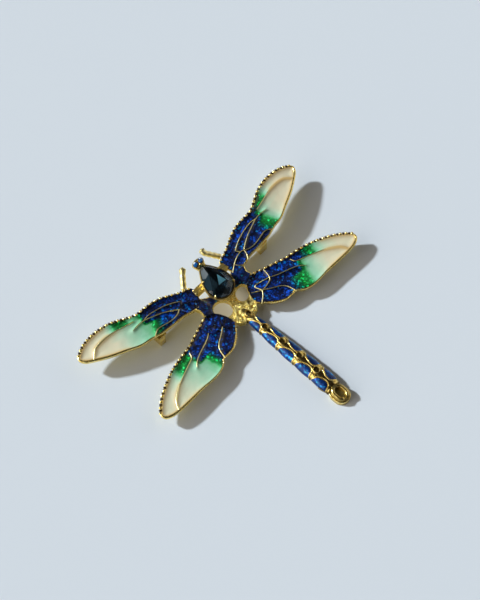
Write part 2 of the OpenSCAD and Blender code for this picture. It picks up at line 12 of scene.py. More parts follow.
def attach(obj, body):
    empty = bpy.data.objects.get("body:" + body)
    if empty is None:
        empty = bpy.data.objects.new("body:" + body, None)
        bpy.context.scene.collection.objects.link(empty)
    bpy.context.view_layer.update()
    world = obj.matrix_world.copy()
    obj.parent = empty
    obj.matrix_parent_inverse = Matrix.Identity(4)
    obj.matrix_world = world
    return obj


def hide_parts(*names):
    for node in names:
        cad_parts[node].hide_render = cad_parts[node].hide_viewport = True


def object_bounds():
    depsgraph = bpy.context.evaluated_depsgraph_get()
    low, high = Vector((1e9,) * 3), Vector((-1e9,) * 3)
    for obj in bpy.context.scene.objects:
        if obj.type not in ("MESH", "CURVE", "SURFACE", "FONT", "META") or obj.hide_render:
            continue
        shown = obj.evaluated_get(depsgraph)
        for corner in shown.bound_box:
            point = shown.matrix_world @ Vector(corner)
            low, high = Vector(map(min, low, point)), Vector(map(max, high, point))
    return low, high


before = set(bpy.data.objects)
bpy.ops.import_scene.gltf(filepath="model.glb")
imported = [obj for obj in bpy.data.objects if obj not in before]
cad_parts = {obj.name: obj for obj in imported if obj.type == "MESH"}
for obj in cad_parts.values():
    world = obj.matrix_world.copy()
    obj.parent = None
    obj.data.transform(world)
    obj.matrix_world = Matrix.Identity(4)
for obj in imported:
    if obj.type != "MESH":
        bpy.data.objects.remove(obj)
cad_box = [list(map(float, corner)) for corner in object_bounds()]

# Everything below is in millimetres, in the source's own frame, until it is placed
MM = 0.001
TINY = 1e-9
WAIST_Y = -1.8
TAIL_LEN = 31.7
TAIL_END_Y = WAIST_Y - TAIL_LEN
CENTRE_Y = TAIL_END_Y - cad_box[0][1] / MM

# Wings: size, place and lie, then the outline and the veins as shares of the length and of the chord
FORE = dict(
    len=28.7, chord=8.0, sweep=12.5, root=(5.4, 6.6), root_z=4.1, tip_z=4.6, arch=1.0, tilt=7.0,
    lead=[(-0.03, 0.2), (0.06, 0.25), (0.13, 0.3), (0.21, 0.365), (0.29, 0.385), (0.38, 0.34), (0.47, 0.295),
          (0.56, 0.385), (0.65, 0.46), (0.74, 0.475), (0.83, 0.435), (0.91, 0.34), (0.97, 0.2)],
    trail=[(1.0, 0.05), (0.97, -0.11), (0.89, -0.24), (0.78, -0.37), (0.66, -0.46), (0.55, -0.54),
           (0.46, -0.525), (0.37, -0.535), (0.26, -0.48), (0.15, -0.41), (0.06, -0.4), (-0.02, -0.33)],
    veins=[
        [(0.5, 0.155), (0.58, 0.16), (0.66, 0.18), (0.74, 0.165), (0.81, 0.11), (0.86, 0.02), (0.905, -0.21)],
        [(0.155, -0.17), (0.21, -0.1), (0.28, -0.03), (0.35, 0.005), (0.42, 0.03), (0.48, 0.01),
         (0.54, -0.06)],
        [(0.115, 0.015), (0.17, 0.075), (0.23, 0.11), (0.31, 0.12), (0.38, 0.1), (0.43, 0.03)],
        [(0.155, -0.17), (0.19, -0.27), (0.25, -0.34), (0.32, -0.35), (0.38, -0.37), (0.43, -0.52)],
        [(-0.04, -0.24), (0.02, -0.16), (0.08, -0.11), (0.13, -0.12), (0.155, -0.17), (0.14, -0.29),
         (0.11, -0.4)],
        [(0.13, -0.12), (0.115, 0.015)],
        [(0.02, -0.16), (0.035, -0.31), (0.07, -0.4)]])
HIND = dict(
    len=26.0, chord=8.9, sweep=-13.5, root=(5.0, -2.2), root_z=2.9, tip_z=3.5, arch=0.3, tilt=3.5,
    lead=[(0.05, 0.46), (0.12, 0.445), (0.2, 0.425), (0.28, 0.4), (0.35, 0.375), (0.43, 0.385), (0.53, 0.4),
          (0.62, 0.39), (0.7, 0.355), (0.78, 0.31), (0.86, 0.24), (0.93, 0.15), (0.98, 0.06)],
    trail=[(1.0, -0.05), (0.98, -0.17), (0.92, -0.28), (0.83, -0.36), (0.72, -0.43), (0.61, -0.495),
           (0.53, -0.56), (0.46, -0.605), (0.4, -0.615), (0.34, -0.585), (0.285, -0.505), (0.24, -0.54),
           (0.18, -0.565), (0.12, -0.53), (0.06, -0.455), (0.01, -0.35), (-0.05, -0.22), (-0.06, 0.02),
           (-0.03, 0.32)],
    veins=[
        [(0.4, 0.27), (0.43, 0.16), (0.5, 0.125), (0.6, 0.085), (0.68, 0.045), (0.76, -0.03), (0.83, -0.13),
         (0.885, -0.33)],
        [(0.165, 0.15), (0.22, 0.1), (0.3, 0.07), (0.38, 0.04), (0.44, -0.01), (0.48, -0.08)],
        [(0.05, -0.04), (0.1, -0.1), (0.15, -0.15), (0.2, -0.2), (0.245, -0.3), (0.285, -0.52)],
        [(0.16, 0.45), (0.165, 0.15), (0.13, 0.04), (0.05, -0.04), (-0.04, 0.04)],
        [(0.05, -0.04), (0.02, 0.15), (0.165, 0.15)],
        [(0.05, -0.04), (0.03, -0.17), (-0.02, -0.34)]])
REAR_LOBE = slice(10, 16)
SIDES = (1, "right"), (-1, "left")
TRAY_T = 1.3
POCKET = 0.55
BEAD_PITCH = 1.33
RIM_STEP, GLAZE_STEP = 0.2, 0.3

# The body
HOLE = (2.95, 0.1)
HOLE_D = 4.2
RING_W = 0.55
PLATE_T = 1.2
PLATE_Z = 2.75
BAND = [(1.4, 2.4), (2.5, 4.1), (3.7, 4.5), (4.9, 5.2), (6.2, 5), (7.5, 3.9), (7.05, 2.6), (7.3, 1.4),
        (5.2, 0)]
WAIST = [(-0.3, 1), (3, -1), (4.5, -1.4), (4.3, -2.7), (3.1, -4), (2.6, -5), (1.7, -5.35), (-0.3, -5.35)]
STRUT = [(2.1, 6.05), (4.95, 5.95), (4.75, 7.6), (2, 7.6)]
STONE_W, STONE_L = 6.0, 9.0
STONE_Y, STONE_Z, STONE_TILT = 5.35, 5.8, 15.0
CROWN_H, PAVILION_H = 1.1, 1.9
WALL, GAP = 0.32, 0.05
EYE_D = 1.25
EYE_X, EYE_Y, EYE_Z = 0.76, STONE_L / 2 + 0.55, 0.1
EYE_LEAN = 15
ANTENNA_D = 1.25
ANTENNA_LEFT = [(5.7, 9.0, 3.7), (5.5, 9.35, 3.9), (4.45, 10.6, 4.9), (3, 12.1, 6), (2.85, 12.25, 6.05)]
ANTENNA_RIGHT = [(5.6, 8.95, 3.7), (5.4, 9.35, 3.9), (3.8, 10.95, 5.1), (3.15, 11.6, 5.7), (3.1, 12.4, 6),
                 (3.1, 12.6, 6.05)]
PIN_FEET = (14.5, -16.8)
PIN_Y, PIN_TOP = (4.5, 7.5), 3.2

# The tail: its form as (share of the length, width, height), its cups and cells, and a cell's outline
TAIL_W, TAIL_TOP, TAIL_LIFT = 4.3, 2.95, 0.9
TAIL_FORM = np.array([(0.03, 0.62, 0.85), (0.13, 0.55, 0.92), (0.24, 0.68, 0.97), (0.4, 0.83, 1.0),
                      (0.555, 0.91, 0.99), (0.71, 0.97, 0.96), (0.81, 0.96, 0.87), (0.865, 0.84, 0.74)])
TAIL_CUPS = [0.09, 0.24, 0.4, 0.555, 0.71]
TAIL_SPANS = [(0.115, 0.24), (0.24, 0.4), (0.4, 0.555), (0.555, 0.71), (0.71, 0.86)]
CELL = [(2.2, 0.015), (0.9, 0.05), (0.5, 0.2), (0.22, 0.42), (0.13, 0.62), (0.2, 0.79), (0.5, 0.92),
        (2.2, 0.985)]
CUP_D = 1.6
LOOP_FROM, LOOP_R = 0.85, 0.9 * TAIL_W / 2


# Paths and curves


def smooth(a, b, x):
    """From 0 at a to 1 at b, level at both."""
    t = np.clip((x - a) / (b - a), 0, 1)
    return t * t * (3 - 2 * t)


def mixed(a, b, share):
    return a * (1 - share) + b * share


def turned(x, y, degrees):
    """Flat coordinates turned anticlockwise."""
    c, s = math.cos(math.radians(degrees)), math.sin(math.radians(degrees))
    return x * c - y * s, x * s + y * c


def rough(points, size, seed=0.0):
    """Smooth noise from -1 to 1 at flat points."""
    return np.array([noise.noise(Vector((x / size + seed, y / size, 0))) for x, y in points])


def hammered(points, size):
    """Dimples from 0 at their rims to 1 at their bottoms."""
    near = [noise.voronoi(Vector((x / size, y / size, 0)))[0][0] for x, y in points]
    return 1 - np.minimum(1.0, np.array(near) / 0.6)


def rounding(edge, r):
    """How far a rounded edge drops at each distance from it."""
    return r - np.sqrt(np.maximum(0, r * r - np.maximum(0, r - edge) ** 2))


def round_path(points, steps, closed):
    """A round path through the points, with steps from each to the next."""
    p = np.asarray(points, float)
    first, last = (p[-1:], p[:2]) if closed else (2 * p[:1] - p[1:2], 2 * p[-1:] - p[-2:-1])
    p = np.vstack([first, p, last])
    out = [0.5 * (2 * b + (c - a) * t + (2 * a - 5 * b + 4 * c - d) * t * t
                  + (3 * b - a - 3 * c + d) * t ** 3)
           for a, b, c, d in zip(p, p[1:], p[2:], p[3:]) for t in np.arange(steps) / steps]
    return np.array(out if closed else out + [p[-2]])


def lengths(path):
    """Distances along an open path."""
    return np.concatenate([[0], np.cumsum(np.linalg.norm(np.diff(path, axis=0), axis=1))])


def even(path, pitch, closed=False):
    """The path with its points about one pitch apart."""
    p = np.vstack([path, path[:1]]) if closed else np.asarray(path, float)
    s = lengths(p)
    at = np.linspace(0, s[-1], max(2, int(round(s[-1] / pitch))) + 1)
    out = np.stack([np.interp(at, s, column) for column in p.T], 1)
    return out[:-1] if closed else out


def left_normals(path, closed):
    """Unit vectors to the left of a flat path at each of its points."""
    d = np.roll(path, -1, 0) - np.roll(path, 1, 0) if closed else np.gradient(path, axis=0)
    d = d / np.maximum(np.linalg.norm(d, axis=1, keepdims=True), TINY)
    return np.stack([-d[:, 1], d[:, 0]], 1)


def inside(p, loop):
    """Which of the flat points lie inside a loop."""
    x, y = p[:, :1], p[:, 1:2]
    a, b = loop, np.roll(loop, -1, 0)
    rise = b[:, 1] - a[:, 1]
    rise = np.where(np.abs(rise) < TINY, TINY, rise)
    crossed = ((a[:, 1] > y) != (b[:, 1] > y)) & (x < (b[:, 0] - a[:, 0]) * (y - a[:, 1]) / rise + a[:, 0])
    return crossed.sum(1) % 2 == 1


def to_segments(p, starts, ends, at_once=64):
    """The distance from each flat point to the nearest of the segments."""
    best = np.full(len(p), np.inf)
    for k in range(0, len(starts), at_once):
        s, d = starts[k:k + at_once], ends[k:k + at_once] - starts[k:k + at_once]
        t = ((p[:, None] - s) * d).sum(2) / np.maximum((d * d).sum(1), TINY ** 2)
        near = s + np.clip(t, 0, 1)[..., None] * d
        best = np.minimum(best, np.sqrt(((p[:, None] - near) ** 2).sum(2)).min(1))
    return best


def distance(p, path, closed):
    """The distance from each flat point to a path."""
    return to_segments(p, path, np.roll(path, -1, 0)) if closed else to_segments(p, path[:-1], path[1:])


def mirrored(loop):
    return np.multiply(loop, (-1, 1))[::-1]


def box_loop(x, y, pitch):
    return even([(x[0], y[0]), (x[1], y[0]), (x[1], y[1]), (x[0], y[1])], pitch, True)


def ring(centre, r, z, count, turn=0.0):
    """Points on a level circle."""
    t = np.radians(turn + 360 * np.arange(count) / count)
    return np.stack([centre[0] + r * np.cos(t), centre[1] + r * np.sin(t), np.full(count, z)], 1)


def circle(centre, diameter, count):
    return ring(centre, diameter / 2, 0, count)[:, :2]


def upright(p, z):
    """The surface that is a level plane, with heights over the ground."""
    return np.column_stack([p, z])


# Shapes: points and faces with named values at each point


def put_in(name, data, **settings):
    """A new object in the scene, with settings on its data."""
    for key, value in settings.items():
        setattr(data, key, value)
    thing = bpy.data.objects.new(name, data)
    bpy.context.scene.collection.objects.link(thing)
    return thing


class Shape:
    """Closed shells gathered into one mesh, in millimetres, with float values at the points."""

    def __init__(self):
        self.points, self.faces, self.values, self.count = [], [], [], 0

    def add(self, points, faces, flip=False, **values):
        points = np.asarray(points, float)
        n = len(points)
        self.faces += [tuple(i + self.count for i in (f[::-1] if flip else f)) for f in faces]
        self.points.append(points)
        self.values.append({k: np.broadcast_to(v, (n,)) for k, v in values.items()})
        self.count += n

    def build(self, name, material, slot, *replaced, angle=50):
        points = np.concatenate(self.points)
        points[:, 1] -= CENTRE_Y
        mesh = bpy.data.meshes.new(name)
        mesh.from_pydata((points * MM).tolist(), [], self.faces)
        for key in sorted({k for v in self.values for k in v}):
            data = np.concatenate([v.get(key, np.zeros(len(p))) for v, p in zip(self.values, self.points)])
            mesh.attributes.new(key, "FLOAT", "POINT").data.foreach_set("value", data.astype(np.float32))
        mesh.polygons.foreach_set("use_smooth", [angle > 0] * len(mesh.polygons))
        mesh.validate()
        if angle > 0:
            mesh.set_sharp_from_angle(angle=math.radians(angle))
        mesh.materials.append(material)
        thing = put_in(name, mesh)
        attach(thing, "root")
        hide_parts(*replaced)
        return thing


class Fill:
    """Triangles over a flat region: inside any of the solid loops and outside all the holes."""

    def __init__(self, solid, pitch, holes=(), rings=()):
        loops = [np.asarray(l, float) for l in [*solid, *holes]]

        def within(p):
            within_loop = [inside(p, l) for l in loops]
            return np.any(within_loop[:len(solid)], 0) & ~np.any(within_loop[len(solid):], 0)

        def clearance(p):
            return np.min([distance(p, l, True) for l in loops], axis=0)

        every = np.concatenate(loops)
        low, high = every.min(0), every.max(0)
        rows = np.arange(low[1], high[1], pitch * 0.866)
        grid = np.array([(x + (k % 2) * pitch / 2, y) for k, y in enumerate(rows)
                         for x in np.arange(low[0], high[0], pitch)])
        grid = grid[within(grid)]
        points = [every, grid[clearance(grid) > max([0.5 * pitch] + [r + 0.4 * pitch for r in rings])]]
        for r in rings:
            for q in [l + side * r * left_normals(l, True) for l in loops for side in (1, -1)]:
                q = q[within(q)]
                points.append(q[clearance(q) > 0.92 * r])
        edges, at = [], 0
        for n in map(len, loops):
            edges += [(at + i, at + (i + 1) % n) for i in range(n)]
            at += n
        found = delaunay_2d_cdt([Vector(p) for p in np.concatenate(points)], edges, [], 0, 1e-5)
        verts, tris = np.array([tuple(v) for v in found[0]]), np.array(found[2])
        tris = tris[within(verts[tris].mean(1))]
        a, b, c = verts[tris].transpose(1, 0, 2)
        area = (b[:, 0] - a[:, 0]) * (c[:, 1] - a[:, 1]) - (b[:, 1] - a[:, 1]) * (c[:, 0] - a[:, 0])
        tris[area < 0] = tris[area < 0][:, ::-1]
        used, new = np.unique(tris[np.abs(area) > 1e-7], return_inverse=True)
        self.points, self.tris = verts[used], new.reshape(-1, 3)
        sides = np.concatenate([self.tris[:, pair] for pair in ([0, 1], [1, 2], [2, 0])]).tolist()
        known = {(a, b) for a, b in sides}
        self.rim = [(a, b) for a, b in sides if (b, a) not in known]
        starts, ends = self.points[np.array(self.rim)].transpose(1, 0, 2)
        # The distance from each point to the region's own rim
        self.edge = to_segments(self.points, starts, ends)


def slab(shape, on, fill, high, low, flip=False, **values):
    """A closed plate over a filled region, between two heights over a surface."""
    n = len(fill.points)
    points = np.concatenate([on(fill.points, np.broadcast_to(h, (n,))) for h in (high, low)])
    faces = fill.tris.tolist()
    faces += [(c + n, b + n, a + n) for a, b, c in faces]
    faces += [(a, a + n, b + n, b) for a, b in fill.rim]
    shape.add(points, faces, flip, **{k: np.tile(np.broadcast_to(v, (n,)), 2) for k, v in values.items()})


def loft(shape, rings, flip=False, closed=False, **values):
    """A skin over rings of equal length: capped, or closed from the last ring to the first."""
    rings = np.asarray(rings, float)
    m, n = rings.shape[:2]
    faces = [(i * n + k, i * n + (k + 1) % n, (i + 1) % m * n + (k + 1) % n, (i + 1) % m * n + k)
             for i in range(m if closed else m - 1) for k in range(n)]
    if not closed:
        faces += [tuple(range(n - 1, -1, -1)), tuple((m - 1) * n + k for k in range(n))]
    shape.add(rings.reshape(-1, 3), faces, flip, **values)


def sweep(shape, on, path, profile, wide=1.0, flip=False, grime=0.0):
    """A closed profile of (offset to the left, height) carried along an open flat path on a surface."""
    wide, grime = (np.broadcast_to(x, (len(path),)) for x in (wide, grime))
    side = left_normals(path, False)
    rings = np.stack([on(path + side * (s * wide)[:, None], h) for s, h in profile], 1)
    loft(shape, rings, not flip, grime=np.repeat(grime, len(profile)))


def lathe(profile, sides):
    """Points, faces and profile steps of a turned form whose (radius, height) begins and ends at radius 0."""
    points, rows, steps = [], [], []
    for step, (r, h) in enumerate(profile):
        count = sides if r > TINY else 1
        rows.append(range(len(steps), len(steps) + count))
        points.append(ring((0, 0), r, h, count))
        steps += [step] * count
    faces = []
    for a, b in zip(rows, rows[1:]):
        for k in range(sides):
            m = (k + 1) % sides
            corners = dict.fromkeys([a[k % len(a)], b[k % len(b)], b[m % len(b)], a[m % len(a)]])
            faces.append(tuple(corners)[::-1])
    return np.concatenate(points), faces, steps


def ball(shape, centre, radii, turn=0.0, rings=6, sides=12, grime=0.0):
    """An egg with its first radius turned in plan."""
    t = np.pi * np.arange(rings + 1) / rings
    points, faces, _ = lathe(list(zip(np.sin(t), -np.cos(t))), sides)
    x, y, z = (points * radii).T
    shape.add(np.stack([*turned(x, y, turn), z], 1) + centre, faces, grime=grime)


def tube(shape, path, radii, sides, across=None, on=np.asarray, grime=0.0):
    """A round bar along a path in space or in another surface's axes."""
    along = np.gradient(path, axis=0)
    along /= np.linalg.norm(along, axis=1, keepdims=True)
    if across is None:
        across = np.cross(along, [0, 0, 1.0])
        across /= np.linalg.norm(across, axis=1, keepdims=True)
    up = np.cross(across, along)
    t = 2 * np.pi * np.arange(sides) / sides
    rings = [p + r * (np.cos(t)[:, None] * a + np.sin(t)[:, None] * u)
             for p, r, a, u in zip(path, radii, np.broadcast_to(across, up.shape), up)]
    loft(shape, on(rings), True, grime=grime)


# Materials


class Nodes:
    """A node tree with short calls to grow it, its closing node and its coordinates."""

    def __init__(self, block, end="Principled BSDF", coordinates="Object"):
        block.use_nodes = True
        self.block, self.tree = block, block.node_tree
        self.end = self.tree.nodes[end]
        self.place = self.add("TexCoord").outputs[coordinates]

    def put(self, made, inputs):
        """Each value goes on its socket, or a link to it."""
        for key, value in inputs.items():
            if isinstance(value, bpy.types.NodeSocket):
                self.tree.links.new(value, made.inputs[key])
            else:
                made.inputs[key].default_value = value

    def add(self, kind, inputs=None, **settings):
        made = self.tree.nodes.new("ShaderNode" + kind)
        for key, value in settings.items():
            setattr(made, key, value)
        self.put(made, inputs or {})
        return made

    def math(self, operation, *values, clamp=False):
        return self.add("Math", dict(enumerate(values)), operation=operation, use_clamp=clamp).outputs[0]

    def vector(self, operation, *values, output="Vector"):
        return self.add("VectorMath", dict(enumerate(values)), operation=operation).outputs[output]

    def mix(self, share, *colours):
        a, b = (c if isinstance(c, bpy.types.NodeSocket) else (*c, 1) for c in colours)
        return self.add("Mix", {0: share, 6: a, 7: b}, data_type="RGBA").outputs[2]

    def ramp(self, share, stops):
        made = self.add("ValToRGB", {0: share})
        while len(made.color_ramp.elements) < len(stops):
            made.color_ramp.elements.new(0.5)
        for element, (at, colour) in zip(made.color_ramp.elements, stops):
            element.position = at
            element.color = (*colour, 1)
        return made.outputs[0]

    def map(self, value, low, high, to_low, to_high, **settings):
        return self.add("MapRange", {"Value": value, "From Min": low, "From Max": high, "To Min": to_low,
                                     "To Max": to_high}, **settings).outputs[0]

    def noise(self, size, detail, roughness=0.5, at=None, output="Fac"):
        return self.add("TexNoise", {"Vector": at or self.place, "Scale": 1 / (size * MM), "Detail": detail,
                                     "Roughness": roughness}).outputs[output]

    def attribute(self, name):
        return self.add("Attribute", attribute_name=name).outputs["Fac"]

    def bump(self, height, depth, strength=1.0):
        return self.add("Bump", {"Height": height, "Strength": strength, "Distance": depth * MM}).outputs[0]


# The dark colour that painted shade and grime mix into the gold
SHADE_AND_GRIME_COLOUR = (0.03, 0.012, 0.004)
UNDER_GOLD = (0.6, 0.37, 0.1)


def gold_material(name, light, deep, polish, cast_size, cast_depth):
    """Plated gold: warmer in patches, darkened by painted shade and grime where the points ask for it, with a
    fine cast skin.
    """
    g = Nodes(bpy.data.materials.new(name))
    fine = g.noise(cast_size, 4, 0.6)
    worn = g.math("MULTIPLY_ADD", g.noise(0.7, 4), 3.0, -0.9, clamp=True)
    grime = g.math("MULTIPLY", g.attribute("grime"), g.math("MULTIPLY_ADD", fine, 0.6, 0.68, clamp=True),
                   clamp=True)
    gloss = g.math("MULTIPLY_ADD", fine, 0.3, polish - 0.15)
    g.put(g.end, {"Base Color": g.mix(grime, g.mix(worn, deep, light), SHADE_AND_GRIME_COLOUR),
                  "Metallic": 1.0,
                  "Roughness": g.math("MULTIPLY_ADD", grime, 0.3, gloss, clamp=True),
                  "Normal": g.bump(fine, cast_depth)})
    return g.block


def enamel_material(name, stops, depth=1.0, calm_share=0.55, coat=1.0):
    """Translucent enamel over a hammered glittering floor, under a smooth clear glaze."""
    g = Nodes(bpy.data.materials.new(name))
    m = g.math
    stage, glitter, under, shade = map(g.attribute, ("stage", "glitter", "under", "shade"))
    wobble = g.noise(1.1, 3)
    stage = m("ADD", stage, m("MULTIPLY_ADD", wobble, 0.1, -0.05), clamp=True)
    colour = g.ramp(stage, stops)
    # The hammered floor under the glaze: a crumpled foil pattern whose facets are painted dark, blue or
    # sparkling by turns, as painted reflections and glints
    moved = g.vector("MULTIPLY_ADD", g.noise(0.5, 1, output="Color"), (0.5 * MM,) * 3, g.place)
    foil = g.noise(0.46, 4, 0.62, moved)
    flake = g.add("TexVoronoi", {"Vector": moved, "Scale": 1 / (0.62 * MM), "Randomness": 1.0}).outputs
    pick = g.add("SeparateColor", {"Color": flake["Color"]}).outputs
    shine = m("MULTIPLY_ADD", foil, 3.2, -1.25)
    shine = m("ADD", shine, m("MULTIPLY_ADD", g.noise(1.9, 2), 1.5, -0.75))
    shine = m("ADD", shine, m("MULTIPLY_ADD", pick[0], 0.7, -0.35), clamp=True)
    tone = m("MULTIPLY_ADD", m("POWER", shine, 2.6), 3.7 * depth, 0.15)
    # The glitter calms down where the blue turns to green
    calm = m("MULTIPLY", glitter, g.map(stage, 0.25, 0.38, 1.0, calm_share))
    tone = m("ADD", 1.0, m("MULTIPLY", calm, m("SUBTRACT", tone, 1.0)))
    # Painted shade darkens the enamel where the points' shade value asks
    tone = m("MULTIPLY", tone, m("SUBTRACT", 1.0, shade))
    scaled = g.add("VectorMath", {0: colour, "Scale": tone}, operation="SCALE").outputs[0]
    # Painted glints: bright flecks on some of the foil's facets
    spark = m("MULTIPLY", m("GREATER_THAN", pick[1], 0.76), glitter)
    spark = m("MULTIPLY", spark, m("LESS_THAN", flake["Distance"], 0.4))
    bright = g.vector("MULTIPLY_ADD", colour, (2.0, 2.8, 2.2), (0.0, 0.13, 0.12))
    lit = g.mix(m("MULTIPLY", spark, 0.8), scaled, bright)
    g.put(g.end, {"Base Color": g.mix(under, lit, UNDER_GOLD),
                  "Metallic": m("MULTIPLY", calm, 0.35),
                  "Roughness": m("MULTIPLY_ADD", wobble, 0.2, 0.26),
                  "Specular IOR Level": 0.15,
                  "Coat Weight": coat, "Coat Roughness": 0.04, "Coat IOR": 1.52,
                  "Normal": g.bump(m("MULTIPLY", foil, glitter), 0.18)})
    return g.block


def glass_material(name, tint):
    """A clear tinted crown."""
    g = Nodes(bpy.data.materials.new(name))
    speck = g.noise(0.8, 2)
    g.put(g.end, {"Base Color": g.mix(speck, [c * 0.8 for c in tint], tint),
                  "Transmission Weight": 1.0, "IOR": 1.56,
                  "Roughness": g.math("MULTIPLY", speck, 0.02)})
    return g.block


def foil_material(name, colour, metal, spread, coat=0.0, sheen=0.5, dip=0.6):
    """The foiled back of a stone, or a whole small stone; lighter and darker copies of it paint light and
    shade on chosen facets.
    """
    g = Nodes(bpy.data.materials.new(name))
    speck = g.noise(0.5, 3)
    g.put(g.end, {"Base Color": g.mix(speck, [c * dip for c in colour], colour),
                  "Metallic": metal,
                  "Roughness": g.math("MULTIPLY_ADD", speck, 0.08, spread),
                  "Specular IOR Level": sheen,
                  "Coat Weight": coat, "Coat Roughness": 0.02})
    return g.block


GOLD = gold_material("polished_gold", (1.0, 0.84, 0.34), (0.96, 0.65, 0.15), 0.22, 0.3, 0.09)
# A paler, satin copy of the gold for the veins and antennae; its paler colour is painted light, so the thin
# lines read as lit
GOLD_LINE_PAINTED_LIGHTER = gold_material("line_gold_painted_lighter", (1.0, 0.92, 0.52), (1.0, 0.8, 0.3), 0.36, 0.3, 0.05)
GOLD_OLD = gold_material("antique_gold", (0.86, 0.7, 0.27), (0.76, 0.5, 0.1), 0.17, 0.3, 0.06)
GOLD_HAMMERED = gold_material("hammered_gold", (1.0, 0.85, 0.32), (0.97, 0.68, 0.13), 0.22, 0.26, 0.3)
WING_GLAZE = enamel_material("wing_enamel_glaze", [
    (0.0, (0.0005, 0.02, 0.2)), (0.16, (0.001, 0.06, 0.36)), (0.27, (0.001, 0.14, 0.15)),
    (0.36, (0.001, 0.3, 0.035)), (0.44, (0.03, 0.44, 0.11)), (0.56, (0.31, 0.62, 0.41)),
    (0.74, (0.58, 0.71, 0.51)), (1.0, (0.78, 0.69, 0.48))])
BAND_GLAZE = enamel_material("band_enamel_glaze", [
    (0.0, (0.0005, 0.005, 0.03)), (1.0, (0.001, 0.035, 0.22))])
TAIL_GLAZE = enamel_material("tail_enamel_glaze", [
    (0.0, (0.001, 0.008, 0.045)), (0.35, (0.001, 0.045, 0.24)), (0.62, (0.002, 0.14, 0.46)),
    (0.85, (0.01, 0.38, 0.66)), (1.0, (0.1, 0.68, 0.8))], depth=0.8, calm_share=1.0, coat=0.45)
# The stone's glass and foil, with a painted lit foil, a painted pale reflection and painted shade for chosen
# facets
STONE_FOILS = [
    glass_material("dark_stone_glass", (0.62, 0.84, 0.94)),
    foil_material("dark_stone_foil", (0.018, 0.045, 0.065), 0.7, 0.22),
    foil_material("dark_stone_lit_foil", (0.42, 0.88, 1.0), 0.0, 0.3, dip=0.92),
    foil_material("dark_stone_sheen", (0.055, 0.075, 0.08), 0.0, 0.4, sheen=0.3),
    foil_material("dark_stone_shade", (0.008, 0.024, 0.034), 0.0, 0.4, sheen=0.05)]
GLASS, FOIL, LIT, SHEEN, SHADE = range(5)
# The eyes' deep blue, with lit and glinting copies that paint light and a highlight on chosen facets
EYE_FOILS = [
    foil_material("blue_stone_deep", (0.002, 0.03, 0.15), 0.4, 0.1, 0.7),
    foil_material("blue_stone_lit", (0.008, 0.17, 0.56), 0.2, 0.1, 0.7),
    foil_material("blue_stone_glint", (0.78, 0.92, 1.0), 0.0, 0.1, 1.0)]
EYE_DEEP, EYE_LIT, EYE_GLINT = range(3)


# Wings


def wing_at(w, side):
    """The surface of a wing's face: flat points along its own axes, and a height over it."""
    slope = math.tan(math.radians(w["tilt"]))

    def on(p, h):
        u = p[:, 0] / w["len"]
        x, y = turned(p[:, 0], p[:, 1], w["sweep"])
        z = w["root_z"] + (w["tip_z"] - w["root_z"]) * u + 4 * w["arch"] * u * (1 - u) + slope * p[:, 1] + h
        return np.stack([side * (w["root"][0] + x), w["root"][1] + y, z], 1)

    return on


def to_wing(w, p):
    """Flat points of the right side along a wing's own axes."""
    return np.stack(turned(*(p - w["root"]).T, -w["sweep"]), 1)


def shares(w, rows):
    return np.array(rows) * (w["len"], w["chord"])


def wing_outline(w, pitch):
    return even(round_path(shares(w, w["lead"] + w["trail"]), 6, True), pitch, True)


def lead_line(w):
    return round_path(shares(w, w["lead"]), 4, False)


def vein_lines(w, pitch):
    return [even(round_path(shares(w, row), 4, False), pitch) for row in w["veins"]]


# Across and up: round the rim on the side of the pocket, then down the tray's wall and back under it
RIM_PROFILE = [(-0.02, -0.22), (-0.035, -0.11), (-0.07, -0.03), (-0.15, 0.015), (-0.225, 0.025), (-0.31, 0.0),
               (-0.385, -0.06), (-0.43, -0.15), (-0.45, -0.45), (-0.45, -TRAY_T + 0.08), (-0.4, -TRAY_T),
               (-0.31, -TRAY_T), (-0.26, -TRAY_T + 0.06), (-0.06, -0.58), (-0.02, -0.42)]
VEIN_PROFILE = [(0.5, -0.5), (0.5, -0.04), (0.42, 0.03), (0.25, 0.08), (0.0, 0.1), (-0.25, 0.08),
                (-0.42, 0.03), (-0.5, -0.04), (-0.5, -0.5)]


def bead_places(w):
    """Centres of the beads along the leading edge, with the direction outward."""
    front = round_path(shares(w, w["lead"] + w["trail"]), 2, True)[:2 * len(w["lead"]) + 1]
    s = lengths(front)
    at = np.arange(2 / 3 * BEAD_PITCH, s[-1], BEAD_PITCH)
    places, ahead, behind = (np.stack([np.interp(at + more, s, front[:, k]) for k in (0, 1)], 1)
                             for more in (0, 0.2, -0.2))
    d = (ahead - behind) / np.linalg.norm(ahead - behind, axis=1, keepdims=True)
    return places, np.stack([-d[:, 1], d[:, 0]], 1)


def wing_rim(shape, w, on, flip, places):
    """The rim: broader to the tip, sunk under the enamel at the root, with painted shade between the beads.
    """
    outline = wing_outline(w, RIM_STEP)
    u = outline[:, 0] / w["len"]
    near_bead = np.linalg.norm(outline[:, None] - places, axis=2).min(1)
    front = distance(outline, lead_line(w), False) < 0.12
    grime = np.where(front, smooth(0.27, 0.4, near_bead), 0.0) * smooth(-0.02, 0.06, u)
    wide = 0.85 + 0.5 * smooth(0.35, 0.95, u)
    sink = -0.3 * (1 - smooth(0.0, 0.07, u))
    normals = left_normals(outline, True)
    rings, dark = [], []
    for s, h in RIM_PROFILE:
        lift = sink - 0.13 * grime if h > -0.5 and s > -0.4 else 0
        offset = s * wide - 0.05 * grime * (s > -0.2)
        rings.append(on(outline + normals * offset[:, None], h + lift))
        dark.append(grime * (0.0 if h < -0.6 or s < -0.4 else 1.0 if s > -0.25 else 0.55))
    loft(shape, np.stack(rings, 1), flip, closed=True, grime=np.stack(dark, 1).ravel())
    # Floor and back of the tray
    plate = Fill([outline - normals * 0.34], 0.7)
    slab(shape, on, plate, -POCKET, -TRAY_T + 0.01, flip)


